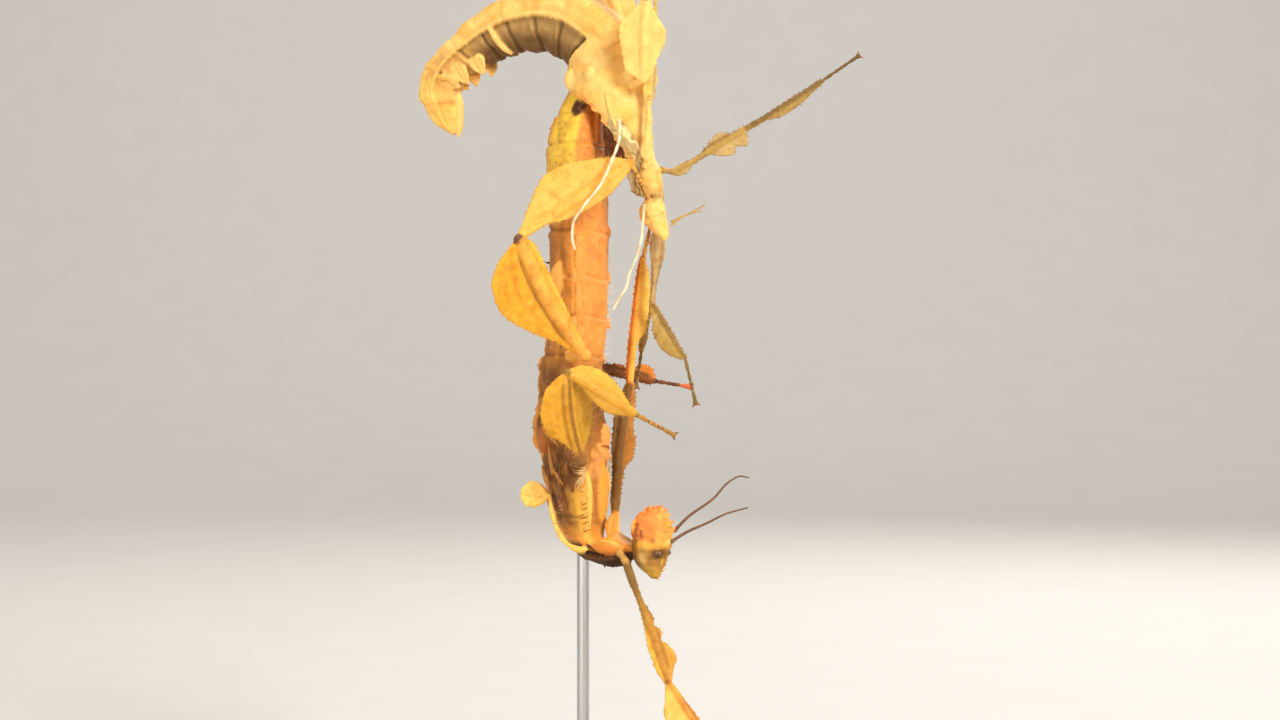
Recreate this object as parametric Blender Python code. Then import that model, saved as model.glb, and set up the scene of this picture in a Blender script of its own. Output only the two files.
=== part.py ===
"""A giant prickly stick insect hanging head down out of its shed skin, on a display stand.

The insect and the skin share one sagittal plane, turned so that the belly faces partly
to the front. Points on the trunks are (forward, height) pairs in that plane: "forward"
is the way the belly faces. Lengths are in millimetres and are scaled when a mesh is made.
The origin is the centre of the stand's underside, +Z is up, and the front is -Y.
"""

import math

import bmesh
import bpy
from mathutils import Matrix, Vector

MM = 0.001
GAP = 0.3  # between solids that meet
BELLY_TURN = math.radians(28)  # of the belly, from +X towards the front
INSECT_X = -6.0  # where the insect's plane crosses the X axis
SKIN_X = -1.7  # where the shed skin's plane crosses it
LEAF = 0.32  # half the thickness of a leaf-like edge
LEAF_RIDGE = 0.37  # half the thickness in the middle of one
LEAF_SHOULDER = 0.72  # how much of the shaft's thickness is left where the leaf begins
LEAF_BEGINS = 0.8  # of the reach, at the narrow ends
SHAFT_FLATNESS = 1.25  # width of a limb's shaft over its thickness
SHAFT_END = 0.72  # a shaft's girth at its joints, as a share of its girth in the middle

BASE_RADIUS = 55.0
BASE_HEIGHT = 8.0
BASE_EDGE = 1.2
ROD_RADIUS = 1.4
ROD_EDGE = 0.3
ARM_RADIUS = 1.1
ROD_PLACE = (-13.0, 31.0)
ROD_TOP = 179.0
ARM_HEIGHT = 176.6
ARM_END = (-4.5, 10.1)

# Half of a trunk's cross-section, belly to back: (share of the half width, share of the height).
TRUNK_SECTION = ((0.0, -0.02), (0.68, 0.0), (1.0, 0.2), (0.82, 0.52), (0.42, 0.86), (0.0, 1.0))
HEAD_SECTION = ((0.0, 0.0), (0.62, 0.1), (0.98, 0.36), (0.92, 0.68), (0.5, 0.94), (0.0, 1.0))

# Stations of the insect's trunk: belly (forward, height), back (forward, height), half width.
ABDOMEN = (
    ((-4.7, 177.4), (-6.6, 177.4), 1.3),
    ((-4.0, 175.4), (-9.3, 175.3), 2.7),
    ((-4.0, 171.6), (-11.8, 171.4), 3.3),
    ((-4.1, 168.4), (-13.6, 168.4), 4.1),
    ((-4.2, 163.2), (-15.4, 163.2), 6.0),
    ((-4.2, 158.0), (-15.6, 158.0), 7.2),
    ((-4.3, 148.4), (-15.1, 148.4), 7.8),
    ((-4.4, 138.4), (-14.7, 138.4), 8.0),
    ((-4.4, 128.4), (-15.0, 128.4), 7.9),
    ((-4.5, 121.6), (-15.7, 121.6), 7.2),
    ((-4.8, 117.0), (-16.6, 117.0), 6.4),
)
THORAX = (
    ((-4.8, 117.0), (-16.6, 117.0), 6.4),
    ((-4.7, 114.2), (-18.1, 114.2), 6.2),
    ((-4.4, 107.0), (-18.2, 107.0), 5.9),
    ((-3.8, 100.6), (-19.3, 100.4), 5.9),
    ((-3.5, 95.2), (-17.4, 95.0), 5.8),
    ((-3.3, 90.0), (-16.0, 89.4), 5.6),
    ((-3.3, 85.0), (-14.8, 84.0), 5.0),
    ((-3.4, 80.8), (-12.4, 79.0), 4.2),
    ((-3.5, 78.4), (-9.2, 75.6), 3.6),
    ((-2.8, 77.5), (-5.6, 73.2), 3.2),
    ((-0.2, 78.1), (-2.4, 72.2), 3.2),
    ((1.4, 78.4), (0.4, 71.9), 3.4),
    ((2.8, 78.0), (3.2, 72.2), 3.0),
    ((4.7, 76.9), (4.9, 73.6), 2.0),
)
META_TO_MESO = 4  # index of the station where one length ends and the next starts
MESO_TO_PRO = 9
ABDOMEN_CUTS = (5, 8)
SEGMENT_NECK = 0.94  # how much a trunk draws in at a segment's joint

# Stations of the head, mouth to crown: rear edge, face edge, half width.
HEAD = (
    ((9.4, 84.5), (11.8, 84.6), 1.5),
    ((7.3, 83.4), (12.8, 83.6), 2.6),
    ((5.9, 81.6), (13.3, 82.0), 3.2),
    ((5.4, 79.2), (13.9, 79.6), 3.6),
    ((5.4, 76.8), (14.0, 77.2), 3.9),
    ((5.6, 74.6), (13.2, 74.8), 3.6),
    ((6.6, 72.4), (12.4, 72.6), 2.7),
    ((8.2, 70.8), (11.6, 71.0), 1.6),
    ((9.8, 69.6), (10.9, 69.7), 0.6),
)
EYE_RADIUS = 1.0
EYE_PLACE = (12.3, 2.35, 75.1)  # forward, to the side, height
EYE_ROOM = 0.3

# The shed skin: belly (forward, height), back (forward, height), half width.
SKIN_ABDOMEN = (
    ((-45.4, 166.5), (-44.4, 166.6), 0.9),
    ((-48.4, 168.4), (-44.2, 168.8), 2.2),
    ((-51.2, 172.0), (-44.2, 172.4), 3.2),
    ((-52.6, 176.6), (-43.8, 176.4), 3.9),
    ((-50.8, 181.2), (-42.4, 178.8), 4.5),
    ((-46.8, 185.0), (-39.8, 180.6), 5.0),
    ((-41.8, 188.8), (-36.4, 181.8), 5.5),
    ((-36.0, 192.4), (-31.6, 183.2), 5.9),
    ((-29.4, 195.2), (-26.6, 184.0), 6.2),
    ((-21.4, 196.6), (-21.2, 183.6), 6.4),
    ((-12.8, 195.6), (-17.4, 181.8), 6.5),
    ((-6.2, 191.8), (-15.4, 180.4), 6.5),
    ((-0.4, 186.8), (-14.9, 179.2), 6.4),
)
SKIN_CUTS = (4, 8)
# The thorax is an open trough: belly, back, half width, and how far its wall wraps each side.
SKIN_THORAX = (
    ((0.2, 186.2), (-14.9, 178.6), 6.4, 158),
    ((3.0, 180.0), (-15.0, 176.2), 6.9, 152),
    ((3.7, 174.6), (-14.8, 173.4), 7.5, 138),
    ((3.8, 170.6), (-13.6, 170.2), 7.4, 104),
    ((3.9, 166.0), (-11.0, 166.0), 6.7, 86),
    ((4.4, 161.0), (-6.0, 161.4), 5.2, 84),
    ((6.2, 156.2), (-1.0, 157.2), 4.0, 96),
)
SKIN_WALL = 0.7
TROUGH_STEPS = 10
SKIN_NECK = (
    ((6.5, 155.4), (0.4, 156.4), 3.1),
    ((7.0, 153.0), (1.9, 153.4), 3.1),
    ((7.0, 150.6), (3.2, 150.9), 2.4),
)
SKIN_HEAD = (
    ((7.1, 150.0), (3.6, 150.3), 1.9),
    ((7.8, 147.8), (2.1, 147.8), 2.9),
    ((8.0, 146.2), (2.2, 146.2), 3.1),
    ((8.4, 144.4), (4.0, 144.4), 2.6),
    ((8.7, 142.8), (5.8, 142.8), 1.7),
    ((8.3, 141.3), (7.5, 141.3), 0.5),
)

# How far each limb's leaf reaches from its axis: (share of the length, reach), for the two edges.
HIND_FEMUR = (
    ((0, 1.0), (0.18, 3.9), (0.37, 8.0), (0.6, 11.1), (0.78, 10.2), (0.91, 6.9), (0.97, 3.4), (1, 1.2)),
    ((0, 0.9), (0.27, 1.5), (0.62, 2.1), (0.9, 2.5), (1, 1.1)),
)
HIND_TIBIA = (
    ((0, 0.9), (0.07, 2.0), (0.21, 5.0), (0.45, 8.3), (0.59, 7.8), (0.76, 5.6), (0.9, 3.6), (1, 0.9)),
    ((0, 0.6), (0.19, 0.8), (0.32, 2.0), (0.5, 3.1), (0.69, 3.3), (0.85, 2.3), (1, 0.8)),
)
MID_FEMUR = (
    ((0, 0.9), (0.12, 1.6), (0.28, 4.1), (0.43, 7.0), (0.62, 7.6), (0.85, 6.2), (0.97, 3.0), (1, 1.4)),
    ((0, 0.9), (0.13, 1.0), (0.28, 2.4), (0.5, 3.6), (0.68, 3.7), (0.85, 2.8), (1, 1.2)),
)
MID_TIBIA = (
    ((0, 1.0), (0.12, 3.2), (0.36, 4.3), (0.5, 4.0), (0.66, 3.1), (0.86, 1.5), (1, 0.7)),
    ((0, 0.7), (0.25, 1.4), (0.5, 2.7), (0.66, 3.0), (0.88, 1.7), (1, 0.7)),
)
FORE_FEMUR_LEFT = (
    (
        (0, 0.9), (0.32, 0.9), (0.41, 1.4), (0.5, 1.9), (0.53, 1.4), (0.62, 2.6), (0.66, 1.8),
        (0.73, 2.8), (0.81, 3.7), (0.86, 3.5), (0.91, 2.2), (1, 1.0),
    ),
    ((0, 0.9), (0.15, 1.0), (0.34, 0.7), (0.52, 1.1), (0.72, 1.8), (0.86, 1.8), (1, 0.9)),
)
FORE_TIBIA_LEFT = (
    ((0, 0.6), (0.2, 1.1), (0.36, 1.4), (0.62, 1.5), (0.85, 1.1), (1, 0.7)),
    ((0, 0.8), (0.1, 2.6), (0.22, 4.8), (0.4, 5.3), (0.6, 4.3), (0.8, 2.4), (1, 0.8)),
)
FORE_FEMUR_RIGHT = (
    ((0, 0.9), (0.09, 1.4), (0.32, 2.0), (0.55, 2.8), (0.75, 2.9), (0.9, 2.0), (1, 1.0)),
    ((0, 0.8), (0.34, 1.1), (0.46, 2.8), (0.58, 2.8), (0.66, 2.0), (0.85, 1.9), (1, 1.0)),
)
FORE_TIBIA_RIGHT = (
    ((0, 0.8), (0.08, 1.2), (0.3, 1.6), (0.6, 1.5), (0.83, 1.4), (1, 0.7)),
    ((0, 0.7), (0.3, 0.8), (0.44, 2.4), (0.66, 2.6), (0.86, 1.9), (0.96, 0.8), (1, 0.6)),
)
MID_TIBIA_RIGHT = (
    ((0, 0.8), (0.2, 1.6), (0.4, 2.2), (0.6, 1.5), (0.74, 3.4), (0.9, 3.0), (1, 0.8)),
    ((0, 0.7), (0.3, 1.2), (0.88, 1.2), (1, 0.6)),
)
SKIN_HIND_FEMUR = (
    ((0, 1.1), (0.12, 4.0), (0.5, 5.6), (0.65, 5.8), (0.84, 3.3), (0.95, 1.4), (1, 0.9)),
    ((0, 1.0), (0.1, 2.0), (0.28, 3.1), (0.5, 4.6), (0.6, 4.6), (0.75, 3.0), (0.92, 1.4), (1, 0.8)),
)
SKIN_HIND_TIBIA = (
    ((0, 0.7), (0.2, 2.6), (0.45, 4.4), (0.7, 3.2), (1, 0.7)),
    ((0, 0.7), (0.35, 1.4), (0.6, 2.2), (0.85, 1.4), (1, 0.6)),
)
SKIN_MID_FEMUR = (
    ((0, 0.9), (0.36, 0.7), (0.49, 1.5), (0.68, 2.6), (0.82, 1.2), (1, 0.8)),
    (
        (0, 1.2), (0.1, 1.6), (0.27, 0.9), (0.44, 0.9), (0.62, 3.2), (0.73, 3.7), (0.77, 2.4),
        (0.92, 3.5), (0.97, 1.6), (1, 0.8),
    ),
)
SKIN_MID_TIBIA = (
    ((0, 0.6), (0.3, 0.7), (0.87, 0.8), (1, 0.5)),
    ((0, 0.7), (0.23, 1.0), (0.42, 2.2), (0.65, 2.0), (0.89, 1.0), (1, 0.5)),
)
SKIN_FORE_FEMUR = (
    ((0, 1.1), (0.15, 1.5), (0.32, 0.9), (1, 0.7)),
    ((0, 1.2), (0.3, 1.4), (0.6, 0.8), (1, 0.7)),
)
SKIN_SHEATH = (
    ((0, 1.1), (0.24, 1.3), (0.38, 1.9), (0.63, 1.3), (0.86, 0.8), (1, 0.7)),
    ((0, 1.2), (0.24, 1.4), (0.38, 1.9), (0.63, 1.2), (0.86, 0.8), (1, 0.7)),
)
SKIN_FORE_TIBIA = (
    ((0, 0.6), (0.38, 0.9), (0.62, 0.9), (1, 0.5)),
    ((0, 0.7), (0.19, 1.8), (0.43, 3.5), (0.64, 3.7), (0.88, 2.4), (1, 0.7)),
)

# The insect's legs. The root, on the trunk, is (forward, to the left, height) in the plane, and
# the hip, knee, ankle and last claw are (x, y, z). Then the two leaves, the femur's bow, how far
# each leaf is turned about the limb's axis, and the radius of the femur's shaft.
LEGS = {
    "fore_left": {
        "root": (3.4, 3.3, 75.4), "hip": (-3.0, -6.2, 73.4), "knee": (5.9, -9.0, 48.4),
        "ankle": (20.1, -11.0, 27.2), "claw": (25.0, -11.0, 19.4),
        "leaves": (FORE_FEMUR_LEFT, FORE_TIBIA_LEFT), "bow": 0.3, "turn": (0, 0), "shaft": 0.75,
    },
    "fore_right": {
        "root": (0.8, -4.3, 76.7), "hip": (-5.4, 7.4, 82.6), "knee": (-2.2, 8.8, 110.8),
        "ankle": (0.7, 8.6, 138.4), "claw": (2.6, 9.2, 146.6),
        "leaves": (FORE_FEMUR_RIGHT, FORE_TIBIA_RIGHT), "bow": 0.5, "turn": (0, 0), "shaft": 0.8,
    },
    "mid_left": {
        "root": (-5.0, 5.7, 94.2), "hip": (-12.2, -7.6, 94.6), "knee": (-14.9, -18.4, 113.4),
        "ankle": (-0.8, -15.6, 104.7), "claw": (7.4, -12.0, 100.2),
        "leaves": (MID_FEMUR, MID_TIBIA), "bow": 0.9, "turn": (20, 0), "shaft": 1.0,
    },
    "mid_right": {
        "root": (-8.0, -6.1, 94.2), "hip": (-10.4, 13.0, 95.0), "knee": (-10.6, 17.0, 114.4),
        "ankle": (3.3, 20.4, 111.3), "claw": (11.7, 23.0, 109.9),
        "leaves": (MID_FEMUR, MID_TIBIA_RIGHT), "bow": -0.6, "turn": (-84, 0), "shaft": 0.95,
    },
    "hind_left": {
        "root": (-6.4, 6.7, 117.0), "hip": (-11.6, -8.2, 117.0), "knee": (-24.8, -20.0, 140.8),
        "ankle": (-1.9, -9.4, 157.4), "claw": (1.9, -6.6, 150.3),
        "leaves": (HIND_FEMUR, HIND_TIBIA), "bow": 1.0, "turn": (0, 0), "shaft": 1.25,
    },
    "hind_right": {
        "root": (-7.4, -7.7, 115.6), "hip": (-9.0, 12.4, 119.4), "knee": (-11.0, 20.0, 145.4),
        "ankle": (-7.6, 13.0, 166.6), "claw": (-2.0, 10.6, 170.6),
        "leaves": (HIND_FEMUR, HIND_TIBIA), "bow": -0.6, "turn": (-82, -84), "shaft": 1.2,
    },
}
SKIN_LEGS = {
    "fore_left": {
        "root": (5.2, -3.4, 151.8), "hip": (4.7, 2.0, 147.0), "knee": (2.6, 4.0, 128.3),
        "ankle": (9.8, 6.0, 116.4), "claw": (12.2, 7.0, 106.2),
        "leaves": (SKIN_SHEATH, SKIN_FORE_TIBIA), "bow": 0.0, "turn": (0, 0), "shaft": 0.6,
    },
    "fore_right": {
        "root": (3.4, -3.3, 153.6), "hip": (4.4, 5.4, 149.4), "knee": (2.7, 12.0, 129.2),
        "ankle": (0.3, 13.4, 117.8), "claw": (-0.9, 12.6, 109.9),
        "leaves": (SKIN_SHEATH, SKIN_FORE_TIBIA), "bow": 0.0, "turn": (0, 60), "shaft": 0.6,
    },
    "mid_left": {
        "root": (5.0, 3.9, 156.8), "hip": (1.4, -6.8, 158.6), "knee": (1.9, -6.6, 171.2),
        "ankle": (3.2, -5.2, 188.8), "claw": (3.4, -4.2, 196.8),
        "leaves": (SKIN_FORE_FEMUR, SKIN_FORE_FEMUR), "bow": 0.0, "turn": (0, 0), "shaft": 0.65,
    },
    "mid_right": {
        "root": (5.0, -3.9, 156.8), "hip": (7.4, 6.2, 156.8), "knee": (23.2, 14.0, 166.9),
        "ankle": (41.0, 24.0, 178.8), "claw": (50.1, 30.0, 185.5),
        "leaves": (SKIN_MID_FEMUR, SKIN_MID_TIBIA), "bow": 0.0, "turn": (0, 0), "shaft": 0.65,
    },
    "hind_left": {
        "root": (2.4, 4.7, 174.2), "hip": (0.7, -9.4, 174.8), "knee": (1.3, -12.4, 191.4),
        "ankle": (2.7, -8.0, 210.4), "claw": (3.2, -3.0, 217.6),
        "leaves": (SKIN_HIND_FEMUR, SKIN_HIND_TIBIA), "bow": 0.0, "turn": (0, 0), "shaft": 0.8,
    },
    "hind_right": {
        "root": (-2.4, -6.7, 182.4), "hip": (-1.6, 9.8, 184.0), "knee": (-8.4, 15.0, 201.0),
        "ankle": (-8.6, 12.0, 215.0), "claw": (-7.8, 10.0, 221.0),
        "leaves": (SKIN_HIND_FEMUR, SKIN_HIND_TIBIA), "bow": 0.0, "turn": (0, 0), "shaft": 0.8,
    },
}
TARSUS_RADIUS = 0.5
SKIN_TARSUS_RADIUS = 0.42
TARSUS_SWELL = ((0.0, 0.85), (0.35, 1.0), (0.7, 0.95), (0.86, 1.1), (1.0, 1.5))
RING_STEP = 0.035  # the least share of a limb between two of its cross-sections
SHIN_SHARE = 0.75  # of the femur's shaft

# Threads and feelers: a route, then the radius at its start and at its tip.
FEELER_SIDES = 5
FEELER_STEPS = 2
FEELERS = {
    "antenna_left": (((6.4, -7.4, 77.6), (9.9, -9.0, 79.9), (14.0, -11.0, 81.9), (17.7, -13.0, 83.9),
                      (22.4, -15.0, 85.4)), 0.5, 0.27),
    "antenna_right": (((7.2, -5.0, 79.7), (9.9, -6.0, 82.6), (15.6, -8.0, 87.0), (18.7, -9.0, 90.4),
                       (21.0, -9.2, 91.6), (22.9, -9.4, 91.3)), 0.5, 0.27),
    "shed_antenna_left": (((6.6, -3.6, 144.6), (8.1, -3.6, 145.8), (10.7, -3.0, 147.3),
                           (13.9, -2.0, 149.1)), 0.36, 0.26),
    "shed_antenna_right": (((6.8, -0.4, 145.6), (8.6, 0.6, 146.6), (11.2, 2.0, 147.6),
                            (13.4, 3.4, 148.2)), 0.36, 0.26),
    "shed_thread_upper": (((-4.3, -5.7, 166.6), (-4.4, -10.9, 161.9), (-5.8, -14.4, 157.5),
                           (-8.2, -17.6, 152.0), (-11.8, -17.8, 147.4), (-13.7, -16.2, 144.6),
                           (-14.0, -15.4, 140.9), (-13.5, -14.6, 138.9)), 0.32, 0.27),
    "shed_thread_lower": (((0.9, -4.6, 149.0), (0.6, -6.0, 145.2), (0.2, -6.0, 141.4),
                           (-0.8, -6.0, 137.6), (-2.3, -6.0, 134.0), (-3.0, -6.0, 131.2),
                           (-4.6, -6.6, 128.7), (-5.7, -7.0, 126.5)), 0.32, 0.27),
}

# The tegmina, small paddle-shaped forewings: root, tip, and how far the paddle reaches each side.
TEGMEN_ROOT = (-13.6, 2.9, 86.4)
TEGMEN_TIP = (-17.8, 8.3, 87.6)
TEGMEN_RIGHT_TURN = 62  # degrees about its own length, so that it mirrors the left one
TEGMEN_VEIN = 0.45  # half the thickness along its middle
TEGMEN_REACH = ((0, 0.5), (0.08, 0.8), (0.16, 1.5), (0.3, 2.3), (0.5, 2.9), (0.7, 2.9), (0.9, 1.9), (1, 0.8))


def clear_scene():
    for thing in list(bpy.data.objects):
        bpy.data.objects.remove(thing, do_unlink=True)


def material(name, colour, roughness, metallic=0.0):
    made = bpy.data.materials.new(name)
    made.use_nodes = True
    shader = made.node_tree.nodes["Principled BSDF"]
    shader.inputs["Base Color"].default_value = (*colour, 1.0)
    shader.inputs["Roughness"].default_value = roughness
    shader.inputs["Metallic"].default_value = metallic
    made.diffuse_color = (*colour, 1.0)
    return made


def solid(name, rings, finish):
    """One closed body through rings of points, each ring with the same number of points."""
    mesh = bmesh.new()
    rows = [[mesh.verts.new(point * MM) for point in ring] for ring in rings]
    count = len(rows[0])
    for row, following in zip(rows, rows[1:]):
        for i in range(count):
            j = (i + 1) % count
            mesh.faces.new((row[i], row[j], following[j], following[i]))
    mesh.faces.new(reversed(rows[0]))
    mesh.faces.new(rows[-1])
    bmesh.ops.triangulate(mesh, faces=[face for face in mesh.faces if len(face.verts) > 4])
    bmesh.ops.recalc_face_normals(mesh, faces=mesh.faces)
    data = bpy.data.meshes.new(name)
    mesh.to_mesh(data)
    mesh.free()
    data.shade_smooth()
    data.set_sharp_from_angle(angle=math.radians(50))
    made = bpy.data.objects.new(name, data)
    made.data.materials.append(finish)
    bpy.context.scene.collection.objects.link(made)
    return made


def in_plane(plane_x, forward, side, height):
    """A point given along the belly's facing, to the animal's left, and up."""
    turn_cos, turn_sin = math.cos(BELLY_TURN), math.sin(BELLY_TURN)
    x = plane_x + forward * turn_cos - side * turn_sin
    y = -forward * turn_sin - side * turn_cos
    return Vector((x, y, height))


def blend(low, high, share):
    """Two stations mixed, number by number."""
    if isinstance(low, tuple):
        return tuple(blend(a, b, share) for a, b in zip(low, high))
    return low + (high - low) * share


def station_middle(station):
    belly, back = station[0], station[1]
    return Vector(((belly[0] + back[0]) / 2, (belly[1] + back[1]) / 2))


def pulled_in(stations, at_start, at_end):
    """The stations with an end drawn back by half the gap where another solid meets it."""
    made = list(stations)
    if at_start:
        length = (station_middle(made[1]) - station_middle(made[0])).length
        made[0] = blend(made[0], made[1], GAP / 2 / length)
    if at_end:
        length = (station_middle(made[-2]) - station_middle(made[-1])).length
        made[-1] = blend(made[-1], made[-2], GAP / 2 / length)
    return made


def section_ring(plane_x, station, section):
    belly, back, half_width = station[:3]
    right_side = [(-side, rise) for side, rise in reversed(section[1:-1])]
    ring = []
    for side, rise in list(section) + right_side:
        forward, height = blend(belly, back, rise)
        ring.append(in_plane(plane_x, forward, side * half_width, height))
    return ring


def trunk(name, plane_x, stations, finish, section=TRUNK_SECTION):
    return solid(name, [section_ring(plane_x, station, section) for station in stations], finish)


def segmented(stations):
    """A drawn-in joint between each two stations, as an insect's body has."""
    made = [stations[0]]
    for low, high in zip(stations, stations[1:]):
        belly, back, half_width = blend(low, high, 0.5)
        middle = ((belly[0] + back[0]) / 2, (belly[1] + back[1]) / 2)
        belly = blend(middle, belly, (1 + SEGMENT_NECK) / 2)
        back = blend(middle, back, SEGMENT_NECK)
        made += [(belly, back, half_width * SEGMENT_NECK), high]
    return made


def trough_ring(plane_x, station):
    """The shed thorax's section: a wall that wraps from one lip round the belly to the other."""
    belly, back, half_width, wrap = station
    middle = blend(belly, back, 0.5)
    radius = (station_middle(station) - Vector(belly)).length
    ring = []
    outward, inward = range(TROUGH_STEPS + 1), range(TROUGH_STEPS, -1, -1)
    for shrink, order in ((0.0, outward), (SKIN_WALL, inward)):
        for step in order:
            angle = math.radians(wrap * (2 * step / TROUGH_STEPS - 1))
            reach = math.cos(angle) * (radius - shrink) / radius
            forward, height = blend(middle, belly, reach)
            ring.append(in_plane(plane_x, forward, math.sin(angle) * (half_width - shrink), height))
    return ring


def reach_at(edge, share):
    for low, high in zip(edge, edge[1:]):
        if share <= high[0]:
            return blend(low[1], high[1], (share - low[0]) / (high[0] - low[0]))
    return edge[-1][1]


def leaf_frame(direction, turn):
    """The leaf's normal, towards the front and turned about the limb, and the way across it."""
    front = Vector((0.0, -1.0, 0.0))
    normal = (front - direction * front.dot(direction)).normalized()
    normal = Matrix.Rotation(math.radians(turn), 3, direction) @ normal
    return normal, normal.cross(direction)


def leaf_ring(centre, normal, across, upper, lower, shaft):
    """A shaft between two thin leaves, as ten points round."""
    half_width, thickness = shaft
    ridge = max(thickness, LEAF_RIDGE)
    inner_upper = min(half_width, upper * LEAF_BEGINS)
    inner_lower = min(half_width, lower * LEAF_BEGINS)
    shoulder = max(LEAF, thickness * LEAF_SHOULDER)
    top = ((upper, LEAF), (inner_upper, shoulder), (0.0, ridge), (-inner_lower, shoulder), (-lower, LEAF))
    ring = [centre + across * side + normal * rise for side, rise in top]
    ring += [centre + across * side - normal * rise for side, rise in reversed(top)]
    return ring


def shaft_at(share, radius):
    """The shaft's half width and half thickness: stout at the middle, finer at the joints."""
    swell = SHAFT_END + (1 - SHAFT_END) * math.sin(math.pi * share)
    return radius * SHAFT_FLATNESS * swell, radius * swell


def joint_room(before, joint, after, radius):
    """How far from a joint two bars of this radius stop, so that they end a gap apart."""
    half_angle = (before - joint).angle(after - joint) / 2
    return radius / math.tan(half_angle) + GAP / 2 / math.sin(half_angle)


def limb_rings(start, end, leaves, radius, turn, rooms, bow=0.0, root=None):
    """A femur or tibia as cross-sections; a femur begins with its coxa, at the root."""
    upper, lower = leaves
    direction = (end - start).normalized()
    length = (end - start).length
    normal, across = leaf_frame(direction, turn)
    first, last = rooms[0] / length, 1 - rooms[1] / length
    shares = sorted({share for edge in leaves for share, _ in edge})
    kept = [(first, 0.0)]
    for share in shares:
        if share - kept[-1][0] > RING_STEP and share < last - RING_STEP / 2:
            kept.append((share, share))
    kept.append((last, 1.0))
    rings = []
    if root is not None:
        coxa = (start - root).normalized()
        coxa_normal = (normal - coxa * normal.dot(coxa)).normalized()
        coxa_across = coxa_normal.cross(coxa)
        rings.append(leaf_ring(root, coxa_normal, coxa_across, radius, radius, (radius, radius)))
    for share, edge_share in kept:
        bend = bow * math.sin(math.pi * share)
        centre = start + direction * (share * length) + across * bend
        ring_upper = max(reach_at(upper, edge_share) - bend, radius * SHAFT_END)
        ring_lower = max(reach_at(lower, edge_share) + bend, radius * SHAFT_END)
        rings.append(leaf_ring(centre, normal, across, ring_upper, ring_lower, shaft_at(share, radius)))
    return rings


def foot_rings(start, end, radius, turn, corners, room):
    """A slender tarsus that spreads into a pair of claws."""
    direction = (end - start).normalized()
    length = (end - start).length
    normal, across = leaf_frame(direction, turn)
    rings = []
    for share, spread in ((room / length, TARSUS_SWELL[0][1]),) + TARSUS_SWELL[1:]:
        centre = start + direction * (share * length)
        ring = []
        for step in range(corners):
            angle = math.tau * (step + 0.5) / corners
            sideways = across * (radius * spread * math.cos(angle))
            ring.append(centre + sideways + normal * (radius * math.sin(angle)))
        rings.append(ring)
    return rings


def legs(prefix, plane_x, table, foot_radius, foot_apart, finish):
    """Six legs; on the fresh insect the feet are solids of their own."""
    for place, leg in table.items():
        root = in_plane(plane_x, *leg["root"])
        hip, knee, ankle, claw = (Vector(leg[joint]) for joint in ("hip", "knee", "ankle", "claw"))
        femur_leaves, tibia_leaves = leg["leaves"]
        femur_turn, tibia_turn = leg["turn"]
        shin = leg["shaft"] * SHIN_SHARE
        at_knee = joint_room(hip, knee, ankle, (leg["shaft"] + shin) / 2)
        at_ankle = joint_room(knee, ankle, claw, shin)
        femur = limb_rings(hip, knee, femur_leaves, leg["shaft"], femur_turn, (0.0, at_knee), leg["bow"], root)
        solid(f"{prefix}femur_{place}", femur, finish)
        tibia = limb_rings(knee, ankle, tibia_leaves, shin, tibia_turn, (at_knee, at_ankle))
        if foot_apart:
            solid(f"{prefix}tibia_{place}", tibia, finish)
            solid(f"{prefix}tarsus_{place}", foot_rings(ankle, claw, foot_radius, 0, 6, at_ankle), finish)
        else:
            foot = foot_rings(ankle, claw, foot_radius, tibia_turn, len(tibia[0]), at_ankle)
            solid(f"{prefix}tibia_{place}", tibia + foot, finish)


def smooth_route(points, steps):
    """Points along a smooth curve through the route's own points."""
    padded = [points[0] * 2 - points[1]] + list(points) + [points[-1] * 2 - points[-2]]
    made = []
    for i in range(1, len(padded) - 2):
        before, low, high, after = padded[i - 1:i + 3]
        for step in range(steps):
            t = step / steps
            made.append(0.5 * ((2 * low) + (high - before) * t
                               + (2 * before - 5 * low + 4 * high - after) * t * t
                               + (3 * low - before - 3 * high + after) * t ** 3))
    made.append(points[-1])
    return made


def feeler(name, route, thick, thin, finish):
    """A thin tapering tube along a smooth route."""
    path = smooth_route([Vector(point) for point in route], FEELER_STEPS)
    rings = []
    for i, centre in enumerate(path):
        direction = (path[min(i + 1, len(path) - 1)] - path[max(i - 1, 0)]).normalized()
        normal, across = leaf_frame(direction, 0)
        radius = blend(thick, thin, i / (len(path) - 1))
        ring = []
        for step in range(FEELER_SIDES):
            angle = math.tau * step / FEELER_SIDES
            ring.append(centre + across * (radius * math.cos(angle)) + normal * (radius * math.sin(angle)))
        rings.append(ring)
    return solid(name, rings, finish)


def tegmen(name, hand, finish):
    """One short forewing; hand is 1 for the left and -1 for the right."""
    root = in_plane(INSECT_X, TEGMEN_ROOT[0], TEGMEN_ROOT[1] * hand, TEGMEN_ROOT[2])
    tip = in_plane(INSECT_X, TEGMEN_TIP[0], TEGMEN_TIP[1] * hand, TEGMEN_TIP[2])
    direction = (tip - root).normalized()
    normal, across = leaf_frame(direction, 0 if hand > 0 else TEGMEN_RIGHT_TURN)
    rings = []
    for share, reach in TEGMEN_REACH:
        centre = root.lerp(tip, share)
        rings.append(leaf_ring(centre, normal, across, reach, reach, (reach / 2, TEGMEN_VEIN)))
    return solid(name, rings, finish)


def ball(name, centre, radius, finish):
    mesh = bmesh.new()
    bmesh.ops.create_icosphere(mesh, subdivisions=2, radius=radius * MM)
    bmesh.ops.translate(mesh, verts=mesh.verts, vec=centre * MM)
    data = bpy.data.meshes.new(name)
    mesh.to_mesh(data)
    mesh.free()
    data.shade_smooth()
    made = bpy.data.objects.new(name, data)
    made.data.materials.append(finish)
    bpy.context.scene.collection.objects.link(made)
    return made


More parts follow.
